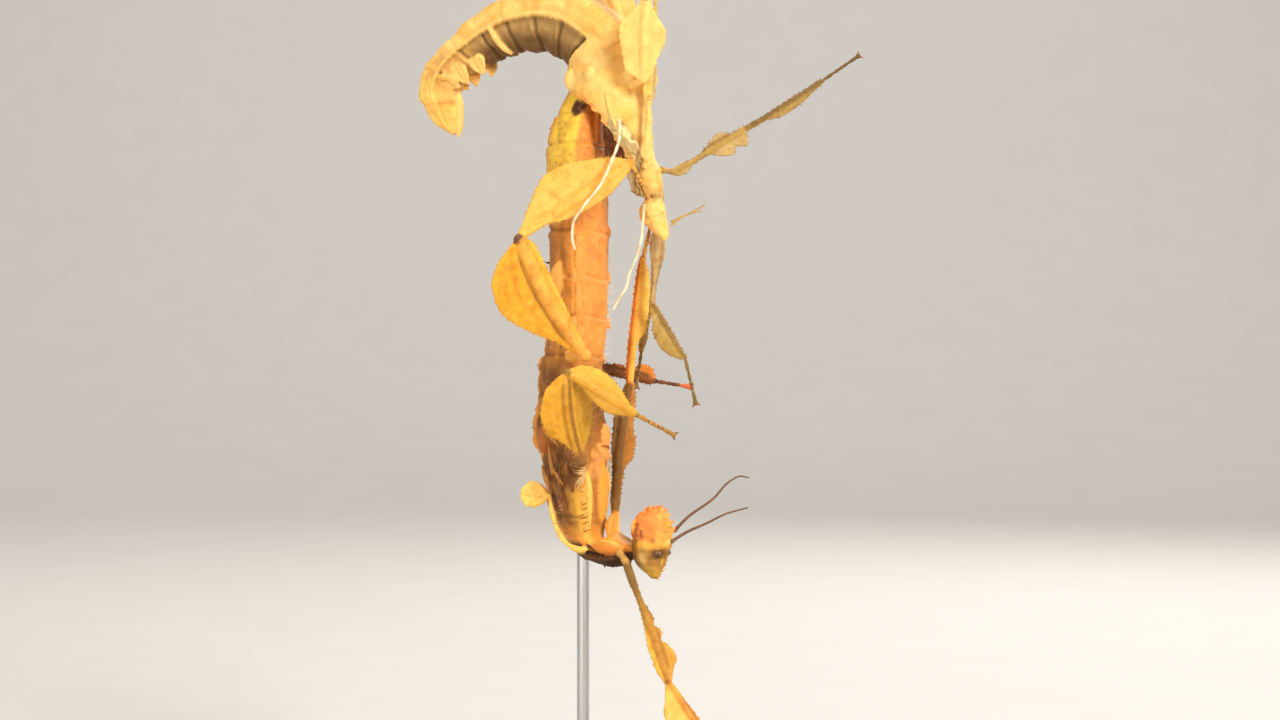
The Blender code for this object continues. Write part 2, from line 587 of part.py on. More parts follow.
def head(finish, eye_finish):
    """The head, with a round socket cut for each eye, and the two eyes."""
    skull = trunk("head", INSECT_X, HEAD, finish, HEAD_SECTION)
    for name, hand in (("left", 1), ("right", -1)):
        forward, side, height = EYE_PLACE
        centre = in_plane(INSECT_X, forward, side * hand, height)
        ball(f"eye_{name}", centre, EYE_RADIUS, eye_finish)
        cutter = ball(f"socket_{name}", centre, EYE_RADIUS + EYE_ROOM, finish)
        cutter.hide_render = True
        cutter.display_type = "WIRE"
        socket = skull.modifiers.new(f"socket_{name}", "BOOLEAN")
        socket.operation = "DIFFERENCE"
        socket.object = cutter


def bar(name, start, end, radius, sides, edge, finish):
    """A round bar with bevelled ends."""
    direction = (end - start).normalized()
    turn = direction.to_track_quat("Z", "Y").to_matrix()
    length = (end - start).length
    rings = []
    for along, shrink in ((0.0, edge), (edge, 0.0), (length - edge, 0.0), (length, edge)):
        ring = []
        for step in range(sides):
            angle = math.tau * step / sides
            flat = Vector((math.cos(angle), math.sin(angle), 0.0)) * (radius - shrink)
            ring.append(start + direction * along + turn @ flat)
        rings.append(ring)
    return solid(name, rings, finish)


def insect(body, limbs, eye, feelers):
    """The fresh insect, from the tip of its abdomen down to its head."""
    first, second = ABDOMEN_CUTS
    trunk("abdomen_tip", INSECT_X, segmented(pulled_in(ABDOMEN[:first + 1], False, True)), body)
    trunk("abdomen_middle", INSECT_X, segmented(pulled_in(ABDOMEN[first:second + 1], True, True)), body)
    trunk("abdomen_base", INSECT_X, segmented(pulled_in(ABDOMEN[second:], True, True)), body)
    trunk("metathorax", INSECT_X, pulled_in(THORAX[:META_TO_MESO + 1], True, True), body)
    trunk("mesothorax", INSECT_X, pulled_in(THORAX[META_TO_MESO:MESO_TO_PRO + 1], True, True), body)
    trunk("prothorax", INSECT_X, pulled_in(THORAX[MESO_TO_PRO:], True, False), body)
    head(body, eye)
    legs("", INSECT_X, LEGS, TARSUS_RADIUS, True, limbs)
    tegmen("tegmen_left", 1, limbs)
    tegmen("tegmen_right", -1, limbs)
    for name in ("antenna_left", "antenna_right"):
        feeler(name, *FEELERS[name], feelers)


def shed_skin(husk, thread):
    """The empty skin that the insect hangs from, with two white threads left from its air tubes."""
    first, second = SKIN_CUTS
    trunk("shed_abdomen_tip", SKIN_X, pulled_in(SKIN_ABDOMEN[:first + 1], False, True), husk)
    trunk("shed_abdomen_middle", SKIN_X, pulled_in(SKIN_ABDOMEN[first:second + 1], True, True), husk)
    trunk("shed_abdomen_base", SKIN_X, pulled_in(SKIN_ABDOMEN[second:], True, False), husk)
    solid("shed_thorax", [trough_ring(SKIN_X, station) for station in SKIN_THORAX], husk)
    trunk("shed_neck", SKIN_X, SKIN_NECK, husk)
    trunk("shed_head", SKIN_X, SKIN_HEAD, husk)
    legs("shed_", SKIN_X, SKIN_LEGS, SKIN_TARSUS_RADIUS, False, husk)
    for name in FEELERS:
        if name.startswith("shed_antenna"):
            feeler(name, *FEELERS[name], husk)
        elif name.startswith("shed_thread"):
            feeler(name, *FEELERS[name], thread)


def stand(dark, metal):
    bar("stand_base", Vector((0, 0, 0)), Vector((0, 0, BASE_HEIGHT)), BASE_RADIUS, 40, BASE_EDGE, dark)
    foot = Vector((*ROD_PLACE, BASE_HEIGHT + GAP))
    top = Vector((*ROD_PLACE, ROD_TOP))
    bar("stand_rod", foot, top, ROD_RADIUS, 12, ROD_EDGE, metal)
    at_rod = Vector((*ROD_PLACE, ARM_HEIGHT))
    tip = Vector((*ARM_END, ARM_HEIGHT))
    start = at_rod + (tip - at_rod).normalized() * (ROD_RADIUS + GAP)
    bar("stand_arm", start, tip, ARM_RADIUS, 12, ROD_EDGE, metal)


def main():
    clear_scene()
    insect(
        material("fresh_cuticle", (0.82, 0.42, 0.06), 0.5),
        material("fresh_leaf", (0.9, 0.55, 0.1), 0.5),
        material("eye", (0.25, 0.12, 0.05), 0.25),
        material("feeler", (0.5, 0.3, 0.1), 0.5),
    )
    shed_skin(material("husk", (0.85, 0.68, 0.36), 0.55), material("thread", (0.95, 0.92, 0.82), 0.5))
    stand(material("stand_board", (0.03, 0.03, 0.03), 0.35), material("stand_steel", (0.6, 0.6, 0.6), 0.3, 1.0))


main()
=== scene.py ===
"""The looks of a giant prickly stick insect hanging out of its shed skin, on a display stand.

Each animal form is made as closed source surfaces in millimetres, from the same named values as
the solids. The sources of the insect are fused into one skin, and those of the shed skin into
another. Every point of a skin takes its tint from the source it lies on. Spines, bristles,
claws, eyes, feelers, threads and torn membranes are pieces of their own.
"""

import math

import bpy
import numpy as np
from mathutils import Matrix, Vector
from mathutils.kdtree import KDTree


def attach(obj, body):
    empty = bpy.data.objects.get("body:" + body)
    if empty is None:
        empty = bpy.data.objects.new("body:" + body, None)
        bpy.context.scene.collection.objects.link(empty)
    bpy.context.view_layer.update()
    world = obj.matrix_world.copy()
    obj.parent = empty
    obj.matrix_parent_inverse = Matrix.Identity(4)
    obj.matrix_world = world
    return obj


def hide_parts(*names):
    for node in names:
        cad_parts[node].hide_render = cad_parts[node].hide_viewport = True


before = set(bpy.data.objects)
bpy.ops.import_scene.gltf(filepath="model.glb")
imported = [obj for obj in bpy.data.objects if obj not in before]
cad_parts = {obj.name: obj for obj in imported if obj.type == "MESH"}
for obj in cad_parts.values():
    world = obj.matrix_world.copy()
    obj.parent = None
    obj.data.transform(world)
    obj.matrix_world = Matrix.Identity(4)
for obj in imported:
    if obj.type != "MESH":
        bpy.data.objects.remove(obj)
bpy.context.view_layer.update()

MM = 0.001
BELLY_TURN = math.radians(28)  # of the belly, from +X towards the front
INSECT_X = -6.0  # where the insect's plane crosses the X axis
SKIN_X = -1.7  # where the shed skin's plane crosses it

# Trunk stations: belly (forward, height), back (forward, height), half width.
ABDOMEN = (
    ((-4.7, 177.4), (-6.6, 177.4), 1.3),
    ((-4.0, 175.4), (-9.3, 175.3), 2.7),
    ((-4.0, 171.6), (-11.8, 171.4), 3.3),
    ((-4.1, 168.4), (-13.6, 168.4), 4.1),
    ((-4.2, 163.2), (-15.4, 163.2), 6.0),
    ((-4.2, 158.0), (-15.6, 158.0), 7.2),
    ((-4.3, 148.4), (-15.1, 148.4), 7.8),
    ((-4.4, 138.4), (-14.7, 138.4), 8.0),
    ((-4.4, 128.4), (-15.0, 128.4), 7.9),
    ((-4.5, 121.6), (-15.7, 121.6), 7.2),
)
THORAX = (
    ((-4.8, 117.0), (-16.6, 117.0), 6.4),
    ((-4.7, 114.2), (-18.1, 114.2), 6.2),
    ((-4.4, 107.0), (-18.2, 107.0), 5.9),
    ((-3.8, 100.6), (-19.3, 100.4), 5.9),
    ((-3.5, 95.2), (-17.4, 95.0), 5.8),
    ((-3.3, 90.0), (-16.0, 89.4), 5.6),
    ((-3.3, 85.0), (-14.8, 84.0), 5.0),
    ((-3.4, 80.8), (-12.4, 79.0), 4.2),
    ((-3.5, 78.4), (-9.2, 75.6), 3.6),
    ((-2.8, 77.5), (-5.6, 73.2), 3.2),
    ((-0.2, 78.1), (-2.4, 72.2), 3.2),
    ((1.4, 78.4), (0.4, 71.9), 3.4),
    ((2.8, 78.0), (3.2, 72.2), 3.0),
    ((4.7, 76.9), (4.9, 73.6), 2.0),
    ((6.4, 76.2), (6.6, 74.2), 1.5),
)
HEAD = (
    ((9.4, 84.5), (11.8, 84.6), 1.5),
    ((7.3, 83.4), (12.8, 83.6), 2.6),
    ((5.9, 81.6), (13.3, 82.0), 3.2),
    ((5.4, 79.2), (13.9, 79.6), 3.6),
    ((5.4, 76.8), (14.0, 77.2), 3.9),
    ((5.6, 74.6), (13.2, 74.8), 3.6),
    ((6.6, 72.4), (12.4, 72.6), 2.7),
    ((8.2, 70.8), (11.6, 71.0), 1.6),
    ((9.8, 69.6), (10.9, 69.7), 0.6),
)
SKIN_ABDOMEN = (
    ((-45.4, 166.5), (-44.4, 166.6), 0.9),
    ((-48.4, 168.4), (-44.2, 168.8), 2.2),
    ((-51.2, 172.0), (-44.2, 172.4), 3.2),
    ((-52.6, 176.6), (-43.8, 176.4), 3.9),
    ((-50.8, 181.2), (-42.4, 178.8), 4.5),
    ((-46.8, 185.0), (-39.8, 180.6), 5.0),
    ((-41.8, 188.8), (-36.4, 181.8), 5.5),
    ((-36.0, 192.4), (-31.6, 183.2), 5.9),
    ((-29.4, 195.2), (-26.6, 184.0), 6.2),
    ((-21.4, 196.6), (-21.2, 183.6), 6.4),
    ((-12.8, 195.6), (-17.4, 181.8), 6.5),
    ((-6.2, 191.8), (-15.4, 180.4), 6.5),
    ((-0.4, 186.8), (-14.9, 179.2), 6.4),
    ((1.2, 184.0), (-14.9, 177.6), 6.6),
)
# The shed thorax is an open trough: belly, back, half width, how far its wall wraps each side.
SKIN_THORAX = (
    ((-1.6, 188.4), (-14.8, 179.4), 6.4, 172),
    ((0.2, 186.2), (-14.9, 178.6), 6.4, 160),
    ((3.0, 180.0), (-15.0, 176.2), 6.9, 152),
    ((3.7, 174.6), (-14.8, 173.4), 7.5, 138),
    ((3.8, 170.6), (-13.6, 170.2), 7.4, 104),
    ((3.9, 166.0), (-11.0, 166.0), 6.7, 86),
    ((4.4, 161.0), (-6.0, 161.4), 5.2, 84),
    ((6.2, 156.2), (-1.0, 157.2), 4.0, 96),
    ((6.5, 154.6), (0.4, 155.6), 3.2, 110),
)
SKIN_WALL = 0.62
SKIN_NECK = (
    ((6.3, 157.0), (-0.4, 157.8), 3.0),
    ((6.5, 155.4), (0.4, 156.4), 3.1),
    ((7.0, 153.0), (1.9, 153.4), 3.1),
    ((7.0, 150.6), (3.2, 150.9), 2.4),
    ((7.2, 149.4), (3.4, 149.6), 2.1),
)
SKIN_HEAD = (
    ((7.1, 150.2), (3.6, 150.5), 1.9),
    ((7.8, 147.8), (2.1, 147.8), 2.9),
    ((8.0, 146.2), (2.2, 146.2), 3.1),
    ((8.4, 144.4), (4.0, 144.4), 2.6),
    ((8.7, 142.8), (5.8, 142.8), 1.7),
    ((8.3, 141.3), (7.5, 141.3), 0.5),
)

# Cross-sections, belly to back: (share of the half width, share of the height).
BODY_SECTION = (
    (0.0, -0.01), (0.45, -0.015), (0.8, 0.02), (0.93, 0.075), (1.0, 0.2), (0.93, 0.36),
    (0.8, 0.53), (0.6, 0.73), (0.36, 0.9), (0.13, 0.985), (0.0, 1.0),
)
HEAD_SECTION = ((0.0, 0.0), (0.36, 0.03), (0.7, 0.14), (0.98, 0.38), (0.93, 0.68), (0.52, 0.93), (0.0, 1.0))

# How far each limb's leaf reaches from its axis: (share of the length, reach), for its two edges.
HIND_FEMUR = (
    ((0, 1.0), (0.18, 3.9), (0.37, 8.0), (0.6, 11.1), (0.78, 10.2), (0.91, 6.9), (0.97, 3.4), (1, 1.2)),
    ((0, 0.9), (0.27, 1.5), (0.62, 2.1), (0.9, 2.5), (1, 1.1)),
)
HIND_TIBIA = (
    ((0, 0.9), (0.07, 2.0), (0.21, 5.0), (0.45, 8.3), (0.59, 7.8), (0.76, 5.6), (0.9, 3.6), (1, 0.9)),
    ((0, 0.6), (0.19, 0.8), (0.32, 2.0), (0.5, 3.1), (0.69, 3.3), (0.85, 2.3), (1, 0.8)),
)
MID_FEMUR = (
    ((0, 0.9), (0.12, 1.6), (0.28, 4.1), (0.43, 7.0), (0.62, 7.6), (0.85, 6.2), (0.97, 3.0), (1, 1.4)),
    ((0, 0.9), (0.13, 1.2), (0.28, 3.0), (0.5, 4.3), (0.68, 4.4), (0.85, 3.2), (1, 1.2)),
)
MID_TIBIA = (
    ((0, 1.0), (0.12, 3.2), (0.36, 4.3), (0.5, 4.0), (0.66, 3.1), (0.86, 1.5), (1, 0.7)),
    ((0, 0.7), (0.25, 1.4), (0.5, 2.7), (0.66, 3.0), (0.88, 1.7), (1, 0.7)),
)
FORE_FEMUR_LEFT = (
    (
        (0, 0.9), (0.32, 0.9), (0.41, 1.4), (0.5, 1.9), (0.53, 1.4), (0.62, 2.6), (0.66, 1.8),
        (0.73, 2.8), (0.81, 3.7), (0.86, 3.5), (0.91, 2.2), (1, 1.0),
    ),
    ((0, 0.9), (0.15, 1.0), (0.34, 0.7), (0.52, 1.1), (0.72, 1.8), (0.86, 1.8), (1, 0.9)),
)
FORE_TIBIA_LEFT = (
    ((0, 0.6), (0.2, 1.1), (0.36, 1.4), (0.62, 1.5), (0.85, 1.1), (1, 0.7)),
    ((0, 0.8), (0.1, 2.6), (0.22, 4.8), (0.4, 5.3), (0.6, 4.3), (0.8, 2.4), (1, 0.8)),
)
FORE_FEMUR_RIGHT = (
    ((0, 0.9), (0.09, 1.4), (0.32, 2.0), (0.55, 2.8), (0.75, 2.9), (0.9, 2.0), (1, 1.0)),
    ((0, 0.8), (0.34, 1.1), (0.46, 2.8), (0.58, 2.8), (0.66, 2.0), (0.85, 1.9), (1, 1.0)),
)
FORE_TIBIA_RIGHT = (
    ((0, 0.8), (0.08, 1.2), (0.3, 1.6), (0.6, 1.5), (0.83, 1.4), (1, 0.7)),
    ((0, 0.7), (0.3, 0.8), (0.44, 2.4), (0.66, 2.6), (0.86, 1.9), (0.96, 0.8), (1, 0.6)),
)
MID_TIBIA_RIGHT = (
    ((0, 0.8), (0.2, 1.6), (0.4, 2.2), (0.6, 1.5), (0.74, 3.4), (0.9, 3.0), (1, 0.8)),
    ((0, 0.7), (0.3, 1.2), (0.88, 1.2), (1, 0.6)),
)
SKIN_HIND_FEMUR = (
    ((0, 1.1), (0.12, 4.0), (0.5, 5.6), (0.65, 5.8), (0.84, 3.3), (0.95, 1.4), (1, 0.9)),
    ((0, 1.0), (0.1, 2.0), (0.28, 3.1), (0.5, 4.6), (0.6, 4.6), (0.75, 3.0), (0.92, 1.4), (1, 0.8)),
)
SKIN_HIND_TIBIA = (
    ((0, 0.7), (0.2, 2.6), (0.45, 4.4), (0.7, 3.2), (1, 0.7)),
    ((0, 0.7), (0.35, 1.4), (0.6, 2.2), (0.85, 1.4), (1, 0.6)),
)
SKIN_MID_FEMUR = (
    ((0, 0.9), (0.36, 0.7), (0.49, 1.5), (0.68, 2.6), (0.82, 1.2), (1, 0.8)),
    (
        (0, 1.2), (0.1, 1.6), (0.27, 0.9), (0.44, 0.9), (0.62, 3.2), (0.73, 3.7), (0.77, 2.4),
        (0.92, 3.5), (0.97, 1.6), (1, 0.8),
    ),
)
SKIN_MID_TIBIA = (
    ((0, 0.6), (0.3, 0.7), (0.87, 0.8), (1, 0.5)),
    ((0, 0.7), (0.23, 1.0), (0.42, 2.2), (0.65, 2.0), (0.89, 1.0), (1, 0.5)),
)
SKIN_FORE_FEMUR = (
    ((0, 1.1), (0.15, 1.5), (0.32, 0.9), (1, 0.7)),
    ((0, 1.2), (0.3, 1.4), (0.6, 0.8), (1, 0.7)),
)
SKIN_SHEATH = (
    ((0, 1.1), (0.24, 1.3), (0.38, 1.9), (0.63, 1.3), (0.86, 0.8), (1, 0.7)),
    ((0, 1.2), (0.24, 1.4), (0.38, 1.9), (0.63, 1.2), (0.86, 0.8), (1, 0.7)),
)
SKIN_FORE_TIBIA = (
    ((0, 0.6), (0.38, 0.9), (0.62, 0.9), (1, 0.5)),
    ((0, 0.7), (0.19, 1.8), (0.43, 3.5), (0.64, 3.7), (0.88, 2.4), (1, 0.7)),
)


def srgb(red, green, blue):
    """A colour given as a screen shows it, as the renderer counts it."""
    share = np.array((red, green, blue), float) / 255
    return np.where(share <= 0.04045, share / 12.92, ((share + 0.055) / 1.055) ** 2.4)


AMBER = srgb(240, 158, 58)
GOLD = srgb(244, 172, 44)
PALE = srgb(252, 202, 98)
LEAF_PALE = srgb(240, 180, 76)
BROWN = srgb(146, 88, 34)
DARK = srgb(70, 38, 14)
OLIVE = srgb(150, 116, 44)
HUSK = srgb(246, 190, 96)
HUSK_PALE = srgb(252, 204, 118)
HUSK_BROWN = srgb(134, 96, 46)
HUSK_GREY = srgb(192, 164, 104)
HUSK_OLIVE = srgb(190, 160, 86)
HUSK_SHEER = srgb(190, 160, 112)
HUSK_DIM = srgb(152, 122, 64)

BELLY_WAY = (math.cos(BELLY_TURN), -math.sin(BELLY_TURN), 0.0)
LEFT_WAY = (-math.sin(BELLY_TURN), -math.cos(BELLY_TURN), 0.0)
UP = (0.0, 0.0, 1.0)

# Legs: root in the trunk's own directions and the other joints in the model's, then the leaves of
# femur and tibia, how far the femur bows, the turn of both leaves about the limb in degrees, and
# the femur shaft's radius. Tints are shaft, upper lobe, lower lobe and groove, for each of the two.
# The rest is optional, and leg_forms says what stands in for it.
LEGS = {
    "fore_left": {
        "root": (3.4, 3.3, 75.4), "hip": (-3.0, -6.2, 73.4), "knee": (5.9, -9.0, 48.4),
        "ankle": (20.1, -11.0, 27.2), "claw": (25.0, -11.0, 19.4),
        "leaves": (FORE_FEMUR_LEFT, FORE_TIBIA_LEFT), "bow": 0.3, "turn": (0, 0), "shaft": 0.75,
        "tints": ((srgb(204, 144, 54), srgb(226, 166, 62), srgb(254, 194, 70), srgb(136, 80, 28)),
                  (AMBER, GOLD, PALE, BROWN)),
        "coxa": srgb(196, 150, 76), "base": srgb(132, 98, 36), "base_reach": 0.6, "marked": 0.8,
        "spines": 0.6,
    },
    "fore_right": {
        "root": (0.8, -4.3, 76.7), "hip": (-5.4, 7.4, 82.6), "knee": (-2.2, 8.8, 110.8),
        "ankle": (0.7, 8.6, 138.4), "claw": (2.6, 9.2, 146.6),
        "leaves": (FORE_FEMUR_RIGHT, FORE_TIBIA_RIGHT), "bow": 0.5, "turn": (0, 0), "shaft": 0.8,
        "tints": ((srgb(126, 86, 32), srgb(126, 86, 32), srgb(184, 122, 44), DARK),
                  # The tibia's upper lobe tint, the darker orange, is painted shade.
                  (srgb(250, 184, 72), srgb(196, 96, 30), srgb(255, 204, 88), srgb(206, 116, 38))),
        "coxa": AMBER, "base": srgb(146, 106, 46), "coxa_bend": -1.3, "marked": 0.6, "tibia_marked": 0.5,
    },
    "mid_left": {
        "root": (-5.0, 5.7, 94.2), "hip": (-12.2, -7.6, 94.6), "knee": (-14.9, -18.4, 113.4),
        "ankle": (-0.8, -15.6, 104.7), "claw": (7.4, -12.0, 100.2),
        "leaves": (MID_FEMUR, MID_TIBIA), "bow": 0.9, "turn": (20, 0), "shaft": 1.0, "crest": 0.45,
        "tints": ((srgb(150, 100, 30), srgb(232, 168, 46), srgb(222, 166, 48), srgb(112, 74, 24)),
                  (srgb(222, 160, 50), srgb(238, 176, 60), srgb(206, 152, 46), OLIVE)),
        # The coxa tint, on the root, the hip and the femur's base, is painted shade.
        "foot": srgb(190, 136, 56), "marked": 0.75, "tibia_marked": 0.35, "coxa": srgb(150, 100, 46),
    },
    "mid_right": {
        "root": (-8.0, -6.1, 94.2), "hip": (-10.4, 13.0, 95.0), "knee": (-10.6, 17.0, 114.4),
        "ankle": (3.3, 20.4, 111.3), "claw": (11.7, 23.0, 109.9),
        "leaves": (MID_FEMUR, MID_TIBIA_RIGHT), "bow": -0.6, "turn": (-84, 0), "shaft": 0.95,
        "tints": ((srgb(214, 134, 38), srgb(226, 142, 36), OLIVE, BROWN),
                  (srgb(156, 88, 28), srgb(232, 138, 42), srgb(150, 84, 28), DARK)),
        # Painted shade: the dark coxa tint, which also darkens the femur's base, and the dark base of the
        # tibia.
        "coxa": srgb(92, 54, 20), "tibia_base": srgb(104, 58, 22), "foot": srgb(120, 70, 30),
        "toe": srgb(218, 106, 56),
    },
    "hind_left": {
        "root": (-6.4, 6.7, 117.0), "hip": (-11.6, -8.2, 117.0), "knee": (-24.8, -20.0, 140.8),
        "ankle": (-1.9, -9.4, 157.4), "claw": (1.9, -6.6, 150.3),
        "leaves": (HIND_FEMUR, HIND_TIBIA), "bow": 1.0, "turn": (0, 0), "shaft": 1.25,
        "tints": ((srgb(250, 176, 72), GOLD, srgb(250, 186, 62), srgb(118, 66, 22)),
                  (LEAF_PALE, LEAF_PALE, LEAF_PALE, AMBER)),
        "knee_tint": srgb(112, 70, 46),
    },
    "hind_right": {
        "root": (-7.4, -7.7, 115.6), "hip": (-9.0, 12.4, 119.4), "knee": (-11.0, 20.0, 145.4),
        "ankle": (-7.6, 13.0, 166.6), "claw": (-2.0, 10.6, 170.6),
        "leaves": (HIND_FEMUR, HIND_TIBIA), "bow": -0.6, "turn": (-82, -84), "shaft": 1.2,
        "tints": ((AMBER, GOLD, AMBER, BROWN), (PALE, PALE, PALE, AMBER)),
    },
}
HUSK_TINTS = ((HUSK_PALE, HUSK_PALE, HUSK_PALE, HUSK_BROWN), (HUSK, HUSK, HUSK_GREY, HUSK_BROWN))
SHEATH_TINTS = (
    (HUSK_SHEER, HUSK_SHEER, HUSK_SHEER, HUSK_DIM), (HUSK_DIM, HUSK_OLIVE, HUSK_OLIVE, HUSK_BROWN),
)
SKIN_LEGS = {
    "fore_left": {
        "root": (5.2, -3.4, 151.8), "hip": (4.7, 2.0, 147.0), "knee": (2.6, 4.0, 128.3),
        "ankle": (9.8, 6.0, 116.4), "claw": (12.2, 7.0, 106.2),
        "leaves": (SKIN_SHEATH, SKIN_FORE_TIBIA), "shaft": 0.6,
        "tints": SHEATH_TINTS,
    },
    "fore_right": {
        "root": (3.4, -3.3, 153.6), "hip": (4.4, 5.4, 149.4), "knee": (2.7, 12.0, 129.2),
        "ankle": (0.3, 13.4, 117.8), "claw": (-0.9, 12.6, 109.9),
        "leaves": (SKIN_SHEATH, SKIN_FORE_TIBIA), "turn": (0, 60), "shaft": 0.6,
        "tints": SHEATH_TINTS,
    },
    "mid_left": {
        "root": (5.0, 3.9, 156.8), "hip": (1.4, -6.8, 158.6), "knee": (1.9, -6.6, 171.2),
        "ankle": (3.2, -5.2, 188.8), "claw": (3.4, -4.2, 196.8),
        "leaves": (SKIN_FORE_FEMUR, SKIN_FORE_FEMUR), "shaft": 0.65,
        "tints": HUSK_TINTS, "marked": 0.3,
    },
    "mid_right": {
        "root": (5.0, -3.9, 156.8), "hip": (7.4, 6.2, 156.8), "knee": (23.2, 14.0, 166.9),
        "ankle": (41.0, 24.0, 178.8), "claw": (50.1, 30.0, 185.5),
        "leaves": (SKIN_MID_FEMUR, SKIN_MID_TIBIA), "shaft": 0.65,
        "tints": ((srgb(178, 144, 72), HUSK_GREY, HUSK_GREY, HUSK_BROWN),
                  (srgb(126, 98, 48), srgb(126, 98, 48), srgb(166, 136, 70), HUSK_BROWN)),
    },
    "hind_left": {
        "root": (2.4, 4.7, 174.2), "hip": (0.7, -9.4, 174.8), "knee": (1.3, -12.4, 191.4),
        "ankle": (2.7, -8.0, 210.4), "claw": (3.2, -3.0, 217.6),
        "leaves": (SKIN_HIND_FEMUR, SKIN_HIND_TIBIA), "shaft": 0.8,
        "tints": HUSK_TINTS, "marked": 0.3,
    },
    "hind_right": {
        "root": (-2.4, -6.7, 182.4), "hip": (-1.6, 9.8, 184.0), "knee": (-8.4, 15.0, 201.0),
        "ankle": (-8.6, 12.0, 215.0), "claw": (-7.8, 10.0, 221.0),
        "leaves": (SKIN_HIND_FEMUR, SKIN_HIND_TIBIA), "shaft": 0.8,
        "tints": HUSK_TINTS, "marked": 0.3,
    },
}
SHIN_SHARE = 0.75  # of the femur's shaft
TARSUS_RADIUS = 0.5
SKIN_TARSUS_RADIUS = 0.42

# Feelers and threads: a route, then the radius at its start and at its tip.
ANTENNAE = {
    "antenna_left": (((6.4, -7.4, 77.6), (9.9, -9.0, 79.9), (14.0, -11.0, 81.9), (17.7, -13.0, 83.9),
                      (22.4, -15.0, 85.4)), 0.36, 0.16),
    "antenna_right": (((7.2, -5.0, 79.7), (9.9, -6.0, 82.6), (15.6, -8.0, 87.0), (18.7, -9.0, 90.4),
                       (21.0, -9.2, 91.6), (22.9, -9.4, 91.3)), 0.36, 0.16),
}
SHED_ANTENNAE = {
    "shed_antenna_left": (((6.6, -3.6, 144.6), (8.1, -3.6, 145.8), (10.7, -3.0, 147.3),
                           (13.9, -2.0, 149.1)), 0.24, 0.14),
    "shed_antenna_right": (((6.8, -0.4, 145.6), (8.6, 0.6, 146.6), (11.2, 2.0, 147.6),
                            (13.4, 3.4, 148.2)), 0.24, 0.14),
}
THREADS = {
    "shed_thread_upper": (((-4.3, -5.7, 166.6), (-4.4, -10.9, 161.9), (-5.8, -14.4, 157.5),
                           (-8.2, -17.6, 152.0), (-11.8, -17.8, 147.4), (-13.7, -16.2, 144.6),
                           (-14.0, -15.4, 140.9), (-13.5, -14.6, 138.9)), 0.32, 0.27),
    "shed_thread_lower": (((0.9, -4.6, 149.0), (0.6, -6.0, 145.2), (0.2, -6.0, 141.4),
                           (-0.8, -6.0, 137.6), (-2.3, -6.0, 134.0), (-3.0, -6.0, 131.2),
                           (-4.6, -6.6, 128.7), (-5.7, -7.0, 126.5)), 0.32, 0.27),
}
TEGMEN_ROOT = (-13.6, 2.9, 86.4)
TEGMEN_TIP = (-17.8, 8.3, 87.6)
TEGMEN_REACH = ((0, 0.5), (0.08, 0.8), (0.16, 1.5), (0.3, 2.3), (0.5, 2.9), (0.7, 2.9), (0.9, 1.9), (1, 0.8))
TEGMEN_RIGHT_TURN = 62  # degrees about its own length, so that it mirrors the left one

EYE_PLACE = (12.3, 2.35, 75.1)  # forward, to the side, height
EYE_SHIFT = (-0.25, -0.3, 0.05)  # of the dome's centre from there, which seats it in the skull
EYE_RADII = (1.05, 0.82, 0.72)  # forward, up, to the side
MOUTH_CREST = (  # forward and height of each scallop round the mouth
    (7.0, 82.7), (7.9, 83.6), (8.9, 84.3), (10.0, 84.8), (11.1, 84.9), (12.1, 84.3), (12.9, 83.2),
    (13.5, 81.8), (14.0, 80.4),
)
# Forward, to the side, height and length.
CROWN_CONES = ((11.2, 0.7, 72.2, 1.1), (9.9, 0.7, 71.2, 1.1), (12.3, 0.8, 73.6, 0.8))
COXA_LOBE = (
    ((0, 1.2), (0.15, 1.8), (0.5, 2.1), (0.8, 1.6), (1, 0.3)),
    ((0, 1.5), (0.15, 1.5), (0.5, 1.0), (0.8, 0.6), (1, 0.3)),
)
FLAP_REACH = ((0, 1.5), (0.3, 1.9), (0.65, 1.4), (0.9, 0.6), (1, 0.2))
TAIL_FLAPS = (  # root and tip as (forward, height)
    ((-46.6, 179.4), (-42.4, 176.6)), ((-43.0, 181.6), (-40.2, 177.2)), ((-38.0, 183.0), (-36.2, 179.2)),
)
FLAP_TINTS = (srgb(240, 188, 102), HUSK_PALE, HUSK_PALE, srgb(196, 144, 74))

# Joints of the abdomen and thorax as heights, of the shed abdomen and a foot as shares along them.
SEGMENT_JOINTS = (168.6, 162.0, 153.2, 143.4, 133.4, 125.0)
THORAX_JOINTS = (116.6, 100.6, 82.0)
SHED_JOINTS = (0.12, 0.24, 0.36, 0.47, 0.58, 0.7, 0.82, 0.93)
TARSUS_JOINTS = (0.0, 0.33, 0.48, 0.6, 0.7, 1.0)

# How finely the forms are made.
VOXEL = 0.24
TINT_SOURCES = 3  # source points that each point of a skin takes its tint from
LEAF_STEP = 0.3
LEAF_COLUMNS = 34  # points across each face of a leaf
RIB_ROWS, RIB_SIDES = 40, 10

# The unwrap of spines: a square grid of tiles, and one spine's patch within its tile.
TILES_ACROSS = 9
TILE_MARGIN = 0.05
PATCH_WIDTH, PATCH_RISE = 0.003, 0.001
SPINE_BANDS = ((-0.18, 1.0), (0.12, 0.86), (0.5, 0.46), (0.8, 0.2))  # share of the length, girth

# CAD nodes that each skin stands for.
INSECT_NODES = (
    "head", "prothorax", "mesothorax", "metathorax", "abdomen_base", "abdomen_middle", "abdomen_tip",
    "tegmen_left", "tegmen_right",
) + tuple(f"{part}_{place}" for part in ("femur", "tibia", "tarsus") for place in LEGS)
SHED_NODES = (
    "shed_head", "shed_neck", "shed_thorax", "shed_abdomen_base", "shed_abdomen_middle", "shed_abdomen_tip",
) + tuple(f"shed_{part}_{place}" for part in ("femur", "tibia") for place in SKIN_LEGS)

